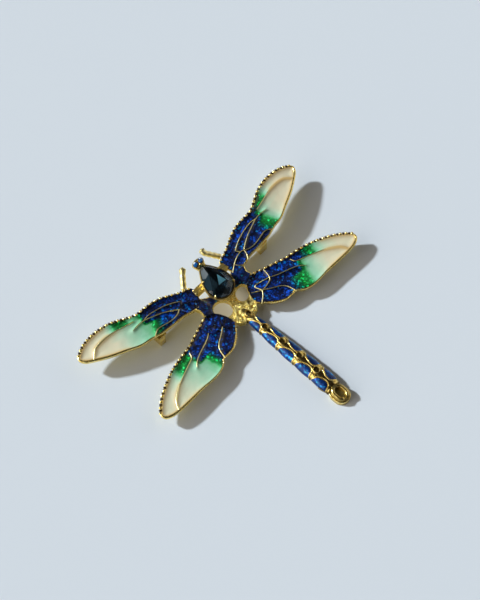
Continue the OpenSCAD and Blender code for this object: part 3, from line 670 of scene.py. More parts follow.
def wing_veins(title, w, on, side):
    """The veins as a piece of their own: the first broadens to the tip and sinks, the second tapers."""
    lines = Shape()
    for i, path in enumerate(vein_lines(w, 0.2)):
        # The left wings' last veins lie under the enamel, sunk and darkened
        covered = side < 0 and i > 2 + (w is FORE)
        drop = -0.25 if covered else 0.0
        if i == 0:
            path = path[:-2]
            u = path[:, 0] / w["len"]
            wide = 0.22 + 0.24 * smooth(0.6, 0.8, u)
            drop = -0.03 - (0.16 if side > 0 else 0.05) * smooth(0.6, 0.74, u)
        else:
            at = lengths(path)
            taper = smooth(0, 0.7, at) * smooth(0, 0.7, at[-1] - at) if i == 1 else 1.0
            wide = 0.2 * (0.55 + 0.45 * taper) * (1 + 0.12 * rough(path, 1.5, i))
        sweep(lines, lambda p, h: on(p, h + drop), path, VEIN_PROFILE, wide, side > 0,
              grime=0.6 if covered else 0.0)
    lines.build("gold_wing_" + title + "_veins", GOLD_LINE_PAINTED_LIGHTER, "gold", "casting")


def wing_gold(title, w, side):
    on, shape = wing_at(w, side), Shape()
    places, outward = bead_places(w)
    wing_rim(shape, w, on, side < 0, places)
    wing_veins(title, w, on, side)

    def stud(p, out, least, inset, depth, radii, grime=0.0):
        """A bead or a pit of the leading edge, smaller to the root."""
        size = least + (1 - least) * smooth(0.1, 0.6, p[0] / w["len"])
        centre, ahead = on(np.array([p - out * inset, p + out]), -depth)
        turn = math.degrees(math.atan2(*(ahead - centre)[1::-1]))
        ball(shape, centre, (radii[0] * size, radii[1] * size, 0.27), turn, grime=grime)

    for p, out in zip(places, outward):
        stud(p, out, 0.86, 0.11, 0.13, (0.34, 0.34))
    # Pits between the beads, dark with painted shade
    for a, b, out, end in zip(places, places[1:], outward, outward[1:]):
        stud((a + b) / 2, (out + end) / 2, 0.8, 0.14, 0.15, (0.37, 0.28), grime=1.0)
    # Small beads along the hindwings' rear lobe
    if w is HIND:
        lobe = even(round_path(shares(w, w["trail"][REAR_LOBE]), 6, False), 0.56)
        for centre in on(lobe, -0.12):
            ball(shape, centre, (0.17, 0.17, 0.17), rings=5, sides=8)
    shape.build("gold_wing_" + title, GOLD, "gold", "casting")


# The enamel's stage of colour as (share of the length, stage): behind the first vein near the trailing edge,
# in the middle, and in front of that vein; and the shares of the chord between which the first two meet
STAGES = {
    "fore_right": (
        [(0.36, 0.05), (0.41, 0.27), (0.45, 0.36), (0.5, 0.44), (0.54, 0.6), (0.6, 0.86), (0.68, 0.98)],
        [(0.38, 0.05), (0.44, 0.14), (0.5, 0.5), (0.56, 0.64), (0.63, 0.85), (0.72, 0.98)],
        [(0.44, 0.05), (0.5, 0.27), (0.56, 0.37), (0.62, 0.42), (0.67, 0.58), (0.72, 0.78), (0.8, 0.98)],
        (-0.12, -0.02)),
    "fore_left": (
        [(0.28, 0.08), (0.33, 0.27), (0.37, 0.38), (0.42, 0.5), (0.5, 0.56), (0.6, 0.66), (0.7, 0.95)],
        [(0.36, 0.05), (0.42, 0.18), (0.45, 0.5), (0.52, 0.56), (0.64, 0.72), (0.74, 0.95)],
        [(0.38, 0.05), (0.43, 0.3), (0.46, 0.46), (0.52, 0.52), (0.56, 0.4), (0.62, 0.36), (0.67, 0.5),
         (0.74, 0.85), (0.86, 0.97)],
        (-0.12, -0.02)),
    "hind_right": (
        [(0.26, 0.05), (0.31, 0.24), (0.36, 0.34), (0.44, 0.42), (0.49, 0.54), (0.58, 0.7), (0.67, 0.95)],
        [(0.36, 0.05), (0.42, 0.16), (0.47, 0.48), (0.54, 0.6), (0.61, 0.8), (0.7, 0.96)],
        [(0.46, 0.05), (0.52, 0.28), (0.57, 0.36), (0.62, 0.46), (0.67, 0.6), (0.74, 0.8), (0.83, 0.96)],
        (-0.18, -0.06)),
    "hind_left": (
        [(0.26, 0.05), (0.31, 0.28), (0.34, 0.38), (0.38, 0.5), (0.46, 0.58), (0.56, 0.66), (0.72, 0.86)],
        [(0.34, 0.05), (0.4, 0.16), (0.45, 0.52), (0.52, 0.62), (0.6, 0.7), (0.74, 0.88)],
        [(0.38, 0.08), (0.43, 0.36), (0.5, 0.38), (0.56, 0.4), (0.62, 0.5), (0.67, 0.7), (0.78, 0.92)],
        (-0.14, -0.04))}


def wing_colours(title, w, u, v):
    """The stage of colour and the glitter at shares of a wing's length and chord."""
    rear, middle, front, meet = STAGES[title]
    vein = np.interp(u, *np.transpose(w["veins"][0]))
    lead = smooth(-0.03, 0.03, v - vein) * (1 if w is FORE else smooth(0.38, 0.42, u))
    slant = 0.05 * (v + 0.3) if w is FORE else 0
    stage = mixed(np.interp(u + slant, *np.transpose(rear)), np.interp(u, *np.transpose(middle)),
                  smooth(*meet, v))
    stage = mixed(stage, np.interp(u, *np.transpose(front)), lead)
    return stage, 1 - smooth(0.4, 0.5, stage)


def wing_glaze(title, w, side):
    outline = wing_outline(w, GLAZE_STEP)
    fill = Fill([outline - left_normals(outline, True) * 0.16], 0.17)
    p = fill.points
    u, v = p[:, 0] / w["len"], p[:, 1] / w["chord"]
    # The distance to the nearest gold, from which the glaze sags
    d = distance(p, outline, True) - 0.42 - 0.18 * smooth(0.35, 0.95, u)
    for i, line in enumerate(vein_lines(w, 0.4)):
        half = 0.13 if i else 0.15 + 0.08 * smooth(0.6, 0.8, u)
        d = np.minimum(d, distance(p, line, False) - half)
    d = np.maximum(d, 0)
    high = -0.39 + 0.33 * np.exp(-d / 0.5)
    high += (0.05 * rough(p, 1.7, 11) + 0.012 * rough(p, 0.7, 12)) * smooth(0.0, 0.5, d)
    high = mixed(high, np.maximum(high, -0.12), 1 - smooth(0.0, 0.1, u))
    stage, glitter = wing_colours(title, w, u, v)
    # Gold shines through the cream along the tip's lines, and painted shade darkens the blue by the lines and
    # the edge
    under = 0.8 * np.exp(-d / 0.34) * smooth(0.5, 0.7, u) * smooth(0.55, 0.8, stage)
    from_lead = distance(p, lead_line(w), False)
    shade = np.maximum(0.85 * np.exp(-d / 0.36), 0.72 * np.exp(-(from_lead / 1.25) ** 2)) * glitter
    shape = Shape()
    slab(shape, wing_at(w, side), fill, high, -POCKET + 0.02, side < 0, stage=stage, glitter=glitter,
         under=under, shade=shade)
    shape.build("glaze_" + title, WING_GLAZE, "wing_enamel", "enamel_" + title, angle=60)


for kind, wing in (("fore_", FORE), ("hind_", HIND)):
    for side, title in SIDES:
        wing_gold(kind + title, wing, side)
        wing_glaze(kind + title, wing, side)


# The plate between the wings


def on_plate(p, h):
    return upright(p, PLATE_Z + 0.22 * np.maximum(0, np.abs(p[:, 0]) - 2.8) + 0.1 * p[:, 1] + h)


def hole_loop(side, grow, count):
    """A hole's rim; on the right the plate reaches in from both sides."""
    if side < 0:
        return circle((-HOLE[0], HOLE[1]), HOLE_D + 2 * grow, count)
    t = 2 * np.pi * np.arange(count) / count
    long, short = (1.9 + grow) * np.cos(t), (1.45 + grow) * np.sin(t)
    return np.array((2.8, -0.12)) + np.stack([0.72 * long - 0.69 * short, 0.69 * long + 0.72 * short], 1)


def wing_loop(w, inset):
    """A right wing's outline in plan, drawn in."""
    outline = wing_outline(w, GLAZE_STEP)
    return wing_at(w, 1)(outline - left_normals(outline, True) * inset, 0)[:, :2]


def make_plate():
    shape = Shape()
    solid = [even(BAND, 0.25, True), even(WAIST, 0.25, True), circle(HOLE, HOLE_D + 4 * RING_W, 64)]
    wings = [wing_loop(FORE, 0.2), wing_loop(HIND, 0.2)]
    holes = [hole_loop(side, 0, 48) for side in (1, -1)]
    fill = Fill(solid + [mirrored(l) for l in solid], 0.16, wings + [mirrored(l) for l in wings] + holes,
                (0.06, 0.14))
    p, d = fill.points, fill.edge
    dent = hammered(p, 0.85) * smooth(0.05, 0.3, d)
    high = 0.02 - rounding(d, 0.2) - 0.34 * dent + 0.24 * rough(p, 0.7, 5) * smooth(0, 0.3, d)
    # Lower under the band's enamel
    to_hole = np.minimum(*[distance(p, hole, True) for hole in holes])
    for loop in (even(BAND, 0.2, True), even(mirrored(BAND), 0.2, True)):
        under = inside(p, loop) * smooth(0.2, 0.4, distance(p, loop, True))
        high -= 0.4 * under * smooth(0.08, 0.2, to_hole)
    # Painted shade: a dark patch by the tail's root, and dark lines along the rims of the hammer dents
    spot = np.exp(-(np.linalg.norm(p - (2.35, -2.55), axis=1) / 0.85) ** 2)
    grime = np.maximum(0.45 * (1 - smooth(0.04, 0.24, dent)) * smooth(0.2, 0.4, d), 0.95 * spot)
    slab(shape, on_plate, fill, high, -PLATE_T, grime=grime)
    shape.build("gold_plate", GOLD_HAMMERED, "gold", "casting", angle=35)


def make_band(side, title):
    shape = Shape()
    solid = even(BAND, 0.2, True)
    holes = [wing_loop(FORE, 0.42), wing_loop(HIND, 0.42), circle((0, STONE_Y), STONE_W + 2 * WALL - 0.2, 64)]
    if side < 0:
        solid, holes = mirrored(solid), [mirrored(l) for l in holes]
    holes.append(hole_loop(side, 0.07, 64))
    # The loop runs clockwise, so its left is its outside
    fill = Fill([solid - left_normals(solid, True) * 0.12], 0.15, holes, (0.07,))
    p, d = fill.points, fill.edge
    base = on_plate(p, 0)[:, 2]
    top = base + 0.02
    # The enamel rises to the wings' faces where they begin
    for w in (FORE, HIND):
        local = to_wing(w, p * (side, 1))
        outline = wing_outline(w, GLAZE_STEP)
        away = distance(local, outline, True) * np.where(inside(local, outline), -1, 1)
        face = wing_at(w, 1)(local, 0)[:, 2]
        top = np.maximum(top, mixed(top, face - 0.2, 1 - smooth(-0.1, 0.7, away)))
    top = top - 0.16 * np.exp(-d / 0.12) + 0.05 * rough(p, 1.6, 3)
    low = np.minimum(base - POCKET, top - 0.3)
    stage = 0.25 + 0.55 * smooth(0.1, 0.7, rough(p, 0.9, 8))
    # Painted shade darkens the band's enamel toward its edge
    slab(shape, upright, fill, top, low, stage=stage, glitter=0.75, under=0.0, shade=0.6 * np.exp(-d / 0.25))
    shape.build("glaze_band_" + title, BAND_GLAZE, "band_enamel", "enamel_band_" + title, angle=60)


make_plate()
for side, title in SIDES:
    make_band(side, title)


# The setting, its claws and the head, in the stone's own axes


def on_stone(points):
    x, y, z = np.moveaxis(np.asarray(points, float), -1, 0)
    y, z = turned(y, z, STONE_TILT)
    return np.stack([x, STONE_Y + y, STONE_Z + z], -1)


def pear_ring(share, z, count, shift=0.0, turn=0.0, grow=0.0):
    """Points on the stone's outline or on one like it."""
    w, l = share * (STONE_W + grow), share * (STONE_L + grow)
    t = np.radians(turn + 360 * np.arange(count) / count)
    return np.column_stack([0.65 * w * np.sin(t) * np.abs(np.sin(t / 2)), l / 2 * np.cos(t) + shift,
                            np.full(count, z)])


# Rings of the cup round the stone: room round the stone, share of the size, height, shift, and painted shade
# that darkens the inside toward the stone
OUTER, INNER = 2 * (WALL + GAP), 2 * GAP
CUP_ROWS = [(OUTER, 0.62, -2.4, -0.3, 0), (OUTER, 0.74, -2.0, -0.25, 0), (OUTER, 0.88, -1.5, -0.15, 0),
            (OUTER, 0.975, -1.1, 0, 0), (OUTER, 1, -0.85, 0, 0.2), (OUTER, 1, -0.26, 0, 0.6),
            (OUTER - 0.06, 1, -0.15, 0, 0.8), (OUTER - 0.22, 1, -0.1, 0, 0.9),
            (INNER + 0.14, 1, -0.11, 0, 0.9), (INNER, 1, -0.17, 0, 0.9), (INNER, 1, -0.3, 0, 0.9),
            (INNER, 0.6, -1.3, -0.6, 0.9), (INNER, 0.2, -2.0, -1.2, 0.9)]
CLAW_ANGLES = (8, 75, 130, 230, 285, 352)
CLAW_PATH = [(0, -0.95), (0.0, -0.4), (0.0, -0.05), (0.06, 0.14), (0.18, 0.3), (0.31, 0.41), (0.4, 0.46)]
CLAW_RADII = [0.25, 0.28, 0.26, 0.23, 0.2, 0.16, 0.09]


def make_setting():
    shape = Shape()
    count = 72
    rings = [pear_ring(share, z, count, shift, grow=grow) for grow, share, z, shift, _ in CUP_ROWS]
    loft(shape, on_stone(rings), True, grime=np.repeat([row[-1] for row in CUP_ROWS], count))
    inward_path = round_path(CLAW_PATH, 3, False)
    radii = np.interp(np.linspace(0, 1, len(inward_path)), np.linspace(0, 1, len(CLAW_RADII)), CLAW_RADII)
    for turn in CLAW_ANGLES:
        foot = pear_ring(1, 0, 1, turn=turn, grow=1.6 * WALL)[0, :2]
        inward = -foot / np.linalg.norm(foot)
        path = [(*(foot + inward * s), z) for s, z in inward_path]
        tube(shape, path, radii, 14, np.array([-inward[1], inward[0], 0]), on_stone)
    # The two feet that carry the cup, with the bridge between them
    for y, z0, d, h in ((3.9, PLATE_Z - 1.15, 3.4, 1.7), (6.4, PLATE_Z - 0.15, 2.6, 1.4)):
        rows = (0.9, 0), (1, 0.12), (1, h - 0.1), (0.92, h)
        loft(shape, [ring((0, y), d / 2 * k, z0 + z, 32) for k, z in rows])
    ends = (3.9, PLATE_Z - 1.1, PLATE_Z + 0.5), (6.4, PLATE_Z - 0.1, PLATE_Z + 1.2)
    loft(shape, [[(x, y, z) for x, z in ((-1.3, z0), (1.3, z0), (1.3, z1), (-1.3, z1))]
                 for y, z0, z1 in ends], True)
    shape.build("gold_setting", GOLD, "gold", "casting", angle=45)


def hull_mesh(points):
    """The convex hull of points, as points and faces."""
    made = bmesh.new()
    for p in points:
        made.verts.new(p)
    bmesh.ops.remove_doubles(made, verts=made.verts, dist=1e-4)
    bmesh.ops.convex_hull(made, input=made.verts)
    loose = [v for v in made.verts if not v.link_faces]
    bmesh.ops.delete(made, geom=loose, context="VERTS")
    bmesh.ops.dissolve_limit(made, angle_limit=0.002, verts=made.verts, edges=made.edges)
    bmesh.ops.recalc_face_normals(made, faces=made.faces)
    made.verts.index_update()
    out = [tuple(v.co) for v in made.verts], [tuple(v.index for v in f.verts) for f in made.faces]
    made.free()
    return out


# Profiles of (radius, height) round the eyes, in the head's neck, and of the raised seats
HEAD_ROWS = [(0.52, -1.0), (0.66, -0.86), (0.725, -0.7), (0.725, -0.1), (0.69, -0.02), (0.62, 0.0)]
NECK_ROWS = [(0.75, -1.3), (0.9, -1.15), (0.9, -0.3), (0.8, -0.2)]
SEAT_ROWS = [(0.7, -0.15), (0.7, -0.02), (0.68, 0.02), (0.65, 0.02), (0.635, -0.02), (0.635, -0.15)]
NOSE_R = 0.25


def make_head():
    shape = Shape()
    rings = [ring((side * EYE_X, EYE_Y), r, z, 24) for side in (-1, 1) for r, z in HEAD_ROWS]
    rings += [ring((0, EYE_Y + 0.75), NOSE_R * math.sin(b), NOSE_R * math.cos(b) - 0.55, 12)
              for b in np.pi * np.arange(1, 6) / 6]
    rings += [ring((0, STONE_L / 2 - 0.8), r, z, 24) for r, z in NECK_ROWS]
    verts, faces = hull_mesh(np.concatenate(rings))
    shape.add(on_stone(verts), faces, grime=0.0)
    for side in (-1, 1):
        seat = [ring((side * EYE_X, EYE_Y), r, EYE_Z - 0.1 + z, 32) for r, z in SEAT_ROWS]
        loft(shape, on_stone(np.stack(seat, 1)), True, closed=True)
    shape.build("gold_head", GOLD, "gold", "casting")


def make_antennae():
    shape = Shape()
    for rows, side in ((ANTENNA_RIGHT, 1), (ANTENNA_LEFT, -1)):
        path = even(round_path(np.array(rows) * (side, 1, 1), 6, False), 0.14)
        s = lengths(path)
        left = s[-1] - s
        # Wavy, with a knob before the end whose top has painted shade as if it were hollow
        radii = ANTENNA_D / 2 * (1.04 + 0.06 * np.sin(s * 5.0) + 0.16 * np.exp(-((left - 0.5) / 0.4) ** 2))
        radii *= np.sqrt(np.clip(s / 0.25, 0.12, 1)) * np.sqrt(np.clip(left / 0.3, 0.1, 1))
        painted_hollow_shade = 0.9 * np.exp(-((left - 0.42) / 0.2) ** 2)
        over = 0.5 + 0.5 * np.sin(2 * np.pi * np.arange(18) / 18)
        tube(shape, path, radii, 18, grime=np.outer(painted_hollow_shade, over ** 2).ravel())
    shape.build("gold_antennae", GOLD_LINE_PAINTED_LIGHTER, "gold", "casting", angle=60)


def make_struts():
    shape = Shape()
    for side in (1, -1):
        loop = even(STRUT, 0.2, True)
        fill = Fill([loop if side > 0 else mirrored(loop)], 0.18, rings=(0.06,))
        groove = 0.1 * np.exp(-((fill.points[:, 1] - 6.75) / 0.16) ** 2)
        high = 4.2 - rounding(fill.edge, 0.16) - groove - 0.05 * hammered(fill.points, 0.8)
        # Painted shade in the groove, over a darker tone on the whole strut
        slab(shape, upright, fill, high, 2.9, grime=0.25 + groove * 4)
    # The pads under the forewings for the pin's feet
    for x in PIN_FEET:
        under = wing_at(FORE, 1)(to_wing(FORE, np.array([[abs(x), 6.0]])), 0)[0, 2] - TRAY_T
        fill = Fill([box_loop((x - 1.1, x + 1.1), PIN_Y, 0.25)], 0.3, rings=(0.06,))
        slab(shape, upright, fill, under + 0.3, PIN_TOP + 0.05 + 0.08 * np.exp(-fill.edge / 0.05))
    shape.build("gold_struts", GOLD, "gold", "casting", angle=40)


make_setting()
make_head()
make_antennae()
make_struts()


# The tail

FORM = round_path(TAIL_FORM, 8, False)
SECTION = round_path([(0, 1), (0.2, 1), (0.6, 0.9), (0.9, 0.68), (1, 0.35), (0.8, 0)], 8, False)
SECTION[:, 0] = np.minimum(SECTION[:, 0], 1.0)
ARC = lengths(SECTION * (TAIL_W / 2, TAIL_TOP - TAIL_LIFT / 2))
ARC_END = ARC[-1]
# So many points of the section lie over its widest place
WIDEST = 33


def tail_y(share):
    return WAIST_Y - share * TAIL_LEN


def tail_size(share):
    """The tail's half width, its top and its underside."""
    wide, high = (np.interp(share, FORM[:, 0], FORM[:, k]) for k in (1, 2))
    return TAIL_W / 2 * wide, TAIL_TOP * high, TAIL_LIFT * (1 - 0.5 * share)


def scallop(share):
    """The tail swells a little at each cell and draws in between them."""
    out = np.full(np.shape(share), 1.0)
    for a, b in TAIL_SPANS:
        t = np.clip((share - a) / (b - a), 0, 1)
        out += 0.1 * np.sin(np.pi * t ** 1.2) - 0.05 * ((t > 0) & (t < 1))
    return out


def on_tail(p, h):
    """The tail's skin: flat points are (distance from the ridge round the section, y)."""
    share = (WAIST_Y - p[:, 1]) / TAIL_LEN
    half, top, low = tail_size(share)
    half = half * scallop(share)
    s, reach = np.abs(p[:, 0]), 0.06
    x, z = (np.interp(s, ARC, column) for column in SECTION.T)
    dx, dz = (size * (np.interp(s + reach, ARC, column) - np.interp(s - reach, ARC, column))
              for size, column in zip((half, top - low), SECTION.T))
    size = np.maximum(np.hypot(dx, dz), TINY)
    nx, nz = np.where(s < reach, 0, -dz / size), np.where(s < reach, 1, dx / size)
    sign = np.where(p[:, 0] < 0, -1, 1)
    return np.stack([sign * (half * x + h * nx), p[:, 1], low + (top - low) * z + h * nz], 1)


def cell_loop(span):
    """A cell's outline on the tail's skin, on the right."""
    half = TAIL_W / 2 * (0.2 + 0.9 * span[1])
    rows = []
    for fx, fy in CELL:
        share = span[0] + fy * (span[1] - span[0])
        here, top, low = tail_size(share)
        foot = np.interp(-(TAIL_LIFT + 0.2 - low) / (top - low), -SECTION[:, 1], ARC)
        x = fx * half / here
        s = foot if x >= 0.98 else np.interp(x, SECTION[:WIDEST, 0], ARC[:WIDEST])
        rows.append((min(s, foot), tail_y(share)))
    loop = even(round_path([rows[0]] + rows + [rows[-1]], 6, True), 0.12, True)
    # Clear of the cups
    reach = CUP_D / 2 + 0.15
    for cup in TAIL_CUPS:
        centre = np.array([0, tail_y(cup)])
        away = np.linalg.norm(loop - centre, axis=1)
        close = away < reach
        loop[close] = centre + (loop[close] - centre) / away[close, None] * reach
    return loop


CELL_LOOPS = [cell_loop(span) for span in TAIL_SPANS]
CELL_LINE = [(0.12, -0.2), (0.11, 0.04), (0.07, 0.12), (0.0, 0.15), (-0.07, 0.12), (-0.11, 0.04),
             (-0.12, -0.2)]
# An open cup from its foot up, over the lip and down inside: radius, height and painted shade, darkest inside
CUP = [(0, 0.0, 0), (0.95, 0.0, 0.4), (0.93, 0.35, 0.6), (0.88, 0.8, 0.6), (0.85, 1.02, 0.2), (0.79, 1.15, 0),
       (0.7, 1.2, 0), (0.66, 1.16, 0), (0.61, 1.04, 0.4), (0.58, 0.88, 0.9), (0.54, 0.66, 1), (0.46, 0.54, 1),
       (0.24, 0.5, 1), (0, 0.49, 1)]


def make_tail():
    shape = Shape()
    share = np.linspace(TAIL_FORM[0, 0], TAIL_FORM[-1, 0], 150)
    t = np.linspace(-ARC_END, ARC_END, 56)
    rings = [on_tail(np.column_stack([t, np.full(len(t), tail_y(k))]), 0) for k in share]
    # Painted shade: dark on the ridge and low on the flanks
    dark = 0.95 * (1 - smooth(0.45, 0.9, np.abs(t))) + 0.7 * smooth(0.5, 0.8, np.abs(t) / ARC_END)
    loft(shape, rings, True, grime=np.outer(smooth(0.12, 0.16, share), dark).ravel())
    # A raised gold line along each cell's ridge side
    for loop in CELL_LOOPS:
        keep = loop[:, 0] < loop[:, 0].max() - 0.25
        start = int(np.argmax(~keep & np.roll(keep, -1)))
        order = np.roll(np.arange(len(loop)), -start - 1)
        line = loop[order][keep[order]]
        # Painted shade darkens each line toward the flank
        flank_shade = 0.8 * smooth(0.35, 0.65, line[:, 0] / ARC_END)
        for side in (1, -1):
            sweep(shape, on_tail, line * (side, 1), CELL_LINE, flip=True, grime=flank_shade)
    points, faces, steps = lathe([(r, h) for r, h, _ in CUP], 28)
    foot = TAIL_TOP - 0.9
    for cup in TAIL_CUPS:
        shape.add(points + (0, tail_y(cup), foot), faces, grime=[CUP[step][2] for step in steps])
        # A nub in each cup, with painted shade
        ball(shape, (0.1, tail_y(cup) - 0.08, foot + 0.5), (0.16, 0.16, 0.08), grime=0.45)
    shape.build("gold_tail", GOLD_OLD, "gold", "casting")


def make_tail_glaze(side, title):
    shape = Shape()
    for i, loop in enumerate(CELL_LOOPS):
        fill = Fill([loop if side > 0 else mirrored(loop)], 0.13)
        p, d = fill.points, fill.edge
        high = -0.12 + 0.15 * (1 - np.exp(-d / 0.2))
        # A painted highlight streaked along the flank, and painted shade at the edges
        streak = np.exp(-((np.abs(p[:, 0]) / ARC_END - 0.45) / 0.09) ** 2)
        streak *= 0.6 + 0.8 * rough(p, 0.7, 3 * i + 1)
        stage = (0.2 + 0.24 * rough(p, 0.9, 3 * i) + 0.85 * streak) * (1 - 0.95 * np.exp(-d / 0.24))
        slab(shape, on_tail, fill, high, -0.35, stage=np.clip(stage, 0, 1), glitter=0.55, under=0.0)
    shape.build("glaze_tail_" + title, TAIL_GLAZE, "tail_enamel", "enamel_tail_" + title, angle=60)


def loop_outline(inset, steps=24):
    """The outline of the loop at the tail's end, drawn in."""
    r = LOOP_R - inset
    t = np.radians(180 * np.arange(steps + 1) / steps)
    ends = ((t, tail_y(LOOP_FROM) - LOOP_R), (t + np.pi, TAIL_END_Y + LOOP_R))
    return np.concatenate([np.stack([r * np.cos(a), y + r * np.sin(a)], 1) for a, y in ends])


# The horseshoe's section from its outer foot over the top to the recess: offset, height and painted shade
HORSESHOE = [(0.425, -1.0, 0.3), (0.425, -0.35, 0.3), (0.36, -0.14, 0.5), (0.22, -0.03, 0.1), (0.05, 0.0, 0),
             (-0.12, -0.02, 0), (-0.28, -0.1, 0.4), (-0.38, -0.25, 0.5), (-0.425, -0.5, 0.4),
             (-0.425, -1.4, 0.4)]


def make_loop():
    shape = Shape()
    fill = Fill([even(loop_outline(0), 0.12, True)], 0.25, rings=(0.04, 0.1))
    drop = rounding(fill.edge, 0.14)
    slab(shape, upright, fill, 1.25 - drop, 0.4 * drop)
    # The raised horseshoe, highest to the head and open at the tip
    path = even(loop_outline(0.72), 0.08, True)
    path = np.roll(path, -int(np.argmin(path[:, 1])), 0)
    s = lengths(path)
    path = path[(s > 0.35) & (s < s[-1] - 0.27)]
    s = lengths(path)
    top = 0.82 * TAIL_TOP - (tail_y(LOOP_FROM) - path[:, 1]) * math.tan(math.radians(7))
    ends = np.sqrt(np.clip(np.minimum(s, s[-1] - s) / 0.3, 0.05, 1))
    normals = left_normals(path, False)
    rings = [upright(path + normals * (a * ends)[:, None], np.maximum(top + b - 0.12 * (1 - ends), 0.3))
             for a, b, _ in HORSESHOE]
    loft(shape, np.stack(rings, 1), grime=np.tile([row[2] for row in HORSESHOE], len(path)))
    # The recess's amber floor, with painted shade that fades out toward the open tip
    floor = Fill([even(loop_outline(1.02, 16), 0.15, True)], 0.2)
    tip_share = smooth(tail_y(0.93), tail_y(0.97), floor.points[:, 1])
    slab(shape, upright, floor, 1.3 + 0.05 * hammered(floor.points, 0.5), 1.1, grime=0.6 - 0.6 * tip_share)
    shape.build("gold_loop", GOLD_OLD, "gold", "casting")


make_tail()
for side, title in SIDES:
    make_tail_glaze(side, title)
make_loop()


# Stones

# Middles of the back facet painted as lit and of the front facet painted with a pale reflection
LIT_FACET = (0.9, -1.2)
SHEEN_FACET = (-1.25, 2.1)
# Half a step of eight facets, in degrees
HALF_STEP = 22.5


def gem(name, rings, on, foil_of, foils, slot, cad):
    """A cut stone whose faces take their materials by their middles."""
    verts, faces = hull_mesh(np.concatenate(rings))
    shape = Shape()
    shape.add(on(verts), faces)
    thing = shape.build(name, foils[0], slot, cad, angle=0)
    for material in foils[1:]:
        thing.data.materials.append(material)
    local = np.array(verts)
    for polygon, face in zip(thing.data.polygons, faces):
        polygon.material_index = foil_of(local[list(face)].mean(0))
    return thing


def stone_foil(middle):
    x, y, z = middle
    # Painted light: a pale reflection on one crown facet, shade on the crown's left facets, and one lit back
    # facet
    if z > 0 and math.dist((x, y), SHEEN_FACET) < 0.65:
        return SHEEN
    if z > 0 and x < -1.2 and -1.2 < y < 1.4:
        return SHADE
    if z > -0.1:
        return GLASS
    return LIT if math.dist((x, y), LIT_FACET) < 0.5 else FOIL


def eye_foil(middle):
    x, y, z = middle
    turn = math.degrees(math.atan2(y, x)) % 360
    # Painted light: a lit blue on the table and on the facets toward -x, and a pale glint on the crown facets
    # toward +y
    if z < 0.05:
        return EYE_DEEP
    if math.hypot(x, y) < 0.1:
        return EYE_LIT
    return EYE_GLINT if 65 < turn < 115 else EYE_LIT if 160 < turn < 250 else EYE_DEEP


def make_stones():
    l, r = STONE_L, EYE_D / 2
    rings = [pear_ring(1, 0.0, 32), pear_ring(1, -0.25, 32), pear_ring(0.6, CROWN_H, 8, -0.04 * l),
             pear_ring(0.83, CROWN_H * 0.62, 8, -0.02 * l, HALF_STEP),
             pear_ring(0.62, -PAVILION_H * 0.58, 8, -0.07 * l, HALF_STEP), [(0, -l / 6, -PAVILION_H)]]
    gem("stone_pear", rings, on_stone, stone_foil, STONE_FOILS, "dark_stone", "main_stone")
    rings = [ring((0, 0), *row) for row in (
        (r, 0.0, 16), (r, -0.12, 16), (0.55 * r, 0.3 * EYE_D, 8), (0.84 * r, 0.17 * EYE_D, 8, HALF_STEP),
        (0.55 * r, -0.28 * EYE_D, 8, HALF_STEP), (0.03, -0.4 * EYE_D, 4))]
    for side, title in SIDES[::-1]:

        def on_eye(points):
            x, y, z = np.transpose(points)
            x, z = turned(x, z, -EYE_LEAN * side)
            return on_stone(np.stack([x + side * EYE_X, y + EYE_Y, z + EYE_Z], 1))

        gem("stone_eye_" + title, rings, on_eye, eye_foil, EYE_FOILS, "blue_stone", "eye_" + title)


make_stones()


# The pin on the back


def make_pin():
    shape = Shape()
    bar_y, bar_z = 6.9, PIN_TOP / 2
    for x in ((13.5, 15.5), (-17.5, -16.1)):
        fill = Fill([box_loop(x, PIN_Y, 0.2)], 0.3, rings=(0.04, 0.1))
        drop = rounding(fill.edge, 0.15)
        slab(shape, upright, fill, PIN_TOP - drop, drop)
    x = np.linspace(-17.3, 14.5, 60)
    radii = 0.45 * np.interp(x, [-17.3, -16.9, -14, 14.5], [0.3, 0.55, 1, 1])
    tube(shape, np.stack([x, np.full(60, bar_y), np.full(60, bar_z)], 1), radii, 20)
    for x, r in zip(PIN_FEET, (1.0, 0.85)):
        rings = [ring((bar_y, bar_z), k, x + dx * r, 24)[:, [2, 0, 1]]
                 for dx, k in ((-0.75, 0.6), (-0.65, 0.72), (0.65, 0.72), (0.75, 0.6))]
        loft(shape, rings)
    shape.build("gold_pin", GOLD, "gold", "pin", angle=40)


make_pin()


# The stage


def make_floor():
    g = Nodes(bpy.data.materials.new("floor_paper"))
    wash = g.math("MULTIPLY_ADD", g.noise(60, 2), 0.5, 0.25)
    g.put(g.end, {"Base Color": g.mix(wash, (0.665, 0.705, 0.745), (0.685, 0.725, 0.76)),
                  "Roughness": 0.85,
                  "Specular IOR Level": 0.25,
                  "Normal": g.bump(g.noise(0.6, 4), 0.02, strength=0.3)})
    mesh = bpy.data.meshes.new("floor")
    # Half its side in metres, and the squares along a side
    half, n = 1.5, 12
    at = [half * (2 * i / n - 1) for i in range(n + 1)]
    points = [(x, y, 0.0) for y in at for x in at]
    faces = [(k, k + 1, k + n + 2, k + n + 1) for j in range(n) for k in range(j * (n + 1), j * (n + 1) + n)]
    mesh.from_pydata(points, [], faces)
    mesh.materials.append(g.block)
    floor = put_in("floor", mesh)


make_floor()

# The sun-like key comes from the photograph's left and slightly behind
SUN = Vector((-0.71, 1.22, 1.0)).normalized()
key = put_in("key", bpy.data.lights.new("key", "SUN"), energy=3.87, angle=math.radians(5),
             color=(0.837, 0.922, 1.0))
key.rotation_euler = SUN.to_track_quat("Z", "Y").to_euler()
key.location = SUN * 0.5

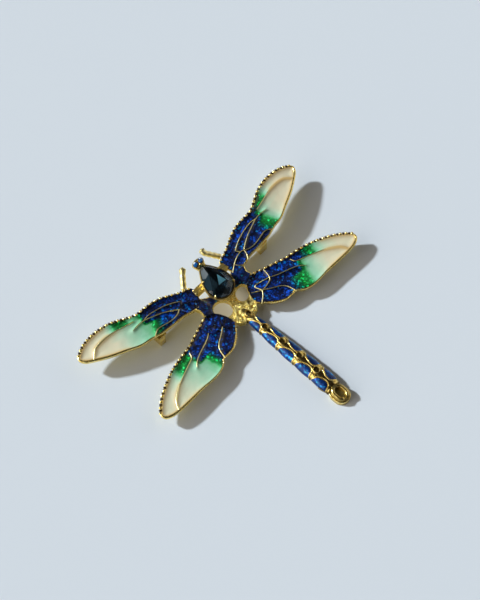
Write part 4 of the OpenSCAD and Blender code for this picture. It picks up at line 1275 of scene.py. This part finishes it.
# A faint warm glow under the thorax, like the light that the gold throws there
glow = put_in("bounce", bpy.data.lights.new("bounce", "AREA"), shape="DISK", size=8.5 * MM, energy=7e-5,
              color=(1.0, 0.86, 0.66))
glow.location = (0.0, (0.3 - CENTRE_Y) * MM, 1.35 * MM)

# The studio: direction, cosines at the edge and at the core, and strength of each soft light, over a dim base
BASE = 0.022
LOBES = {"window": ((-0.85, 0.35, 0.3), 0.7, 0.93, 1.9), "across": ((0.8, -0.25, 0.3), 0.75, 0.95, 0.8),
         "ground": ((0.0, 0.0, -1.0), -0.35, 0.05, 0.16), "above": ((0.35, 0.34, 0.87), 0.88, 0.98, 0.08)}
studio = Nodes(bpy.data.worlds.new("studio"), "Background", "Generated")
bpy.context.scene.world = studio.block
strength = BASE
for direction, edge, core, most in LOBES.values():
    facing = studio.vector("DOT_PRODUCT", studio.place, Vector(direction).normalized(), output="Value")
    lobe = studio.map(facing, edge, core, 0.0, most, interpolation_type="SMOOTHSTEP")
    strength = studio.math("ADD", strength, lobe)
studio.put(studio.end, {"Color": (1.0, 0.95, 0.89, 1), "Strength": strength})

bpy.context.scene.view_settings.view_transform = "Standard"

# The camera, fitted to the photograph
AZ, EL = math.radians(-46.41), math.radians(60.75)
ROLL_DEGREES = 1.15
LOOK_AT = np.array([2.27, 9.085, 0.0])
DISTANCE = 374.9


def to_object(v):
    """The photograph's ground leans a little to the object's own base."""
    x, z = turned(v[0], v[2], -ROLL_DEGREES)
    return np.array([x, v[1], z])


back = np.array([math.sin(AZ) * math.cos(EL), -math.cos(AZ) * math.cos(EL), math.sin(EL)])
right = np.array([math.cos(AZ), math.sin(AZ), 0.0])
columns = [to_object(v) for v in (right, np.cross(back, right), back)]
columns.append(to_object(LOOK_AT + back * DISTANCE) * MM)
camera = put_in("camera", bpy.data.cameras.new("camera"), sensor_width=36, lens=103.47, clip_start=0.01)
camera.matrix_world = Matrix(np.vstack([np.transpose(columns), (0, 0, 0, 1)]).tolist())
bpy.context.scene.camera = camera
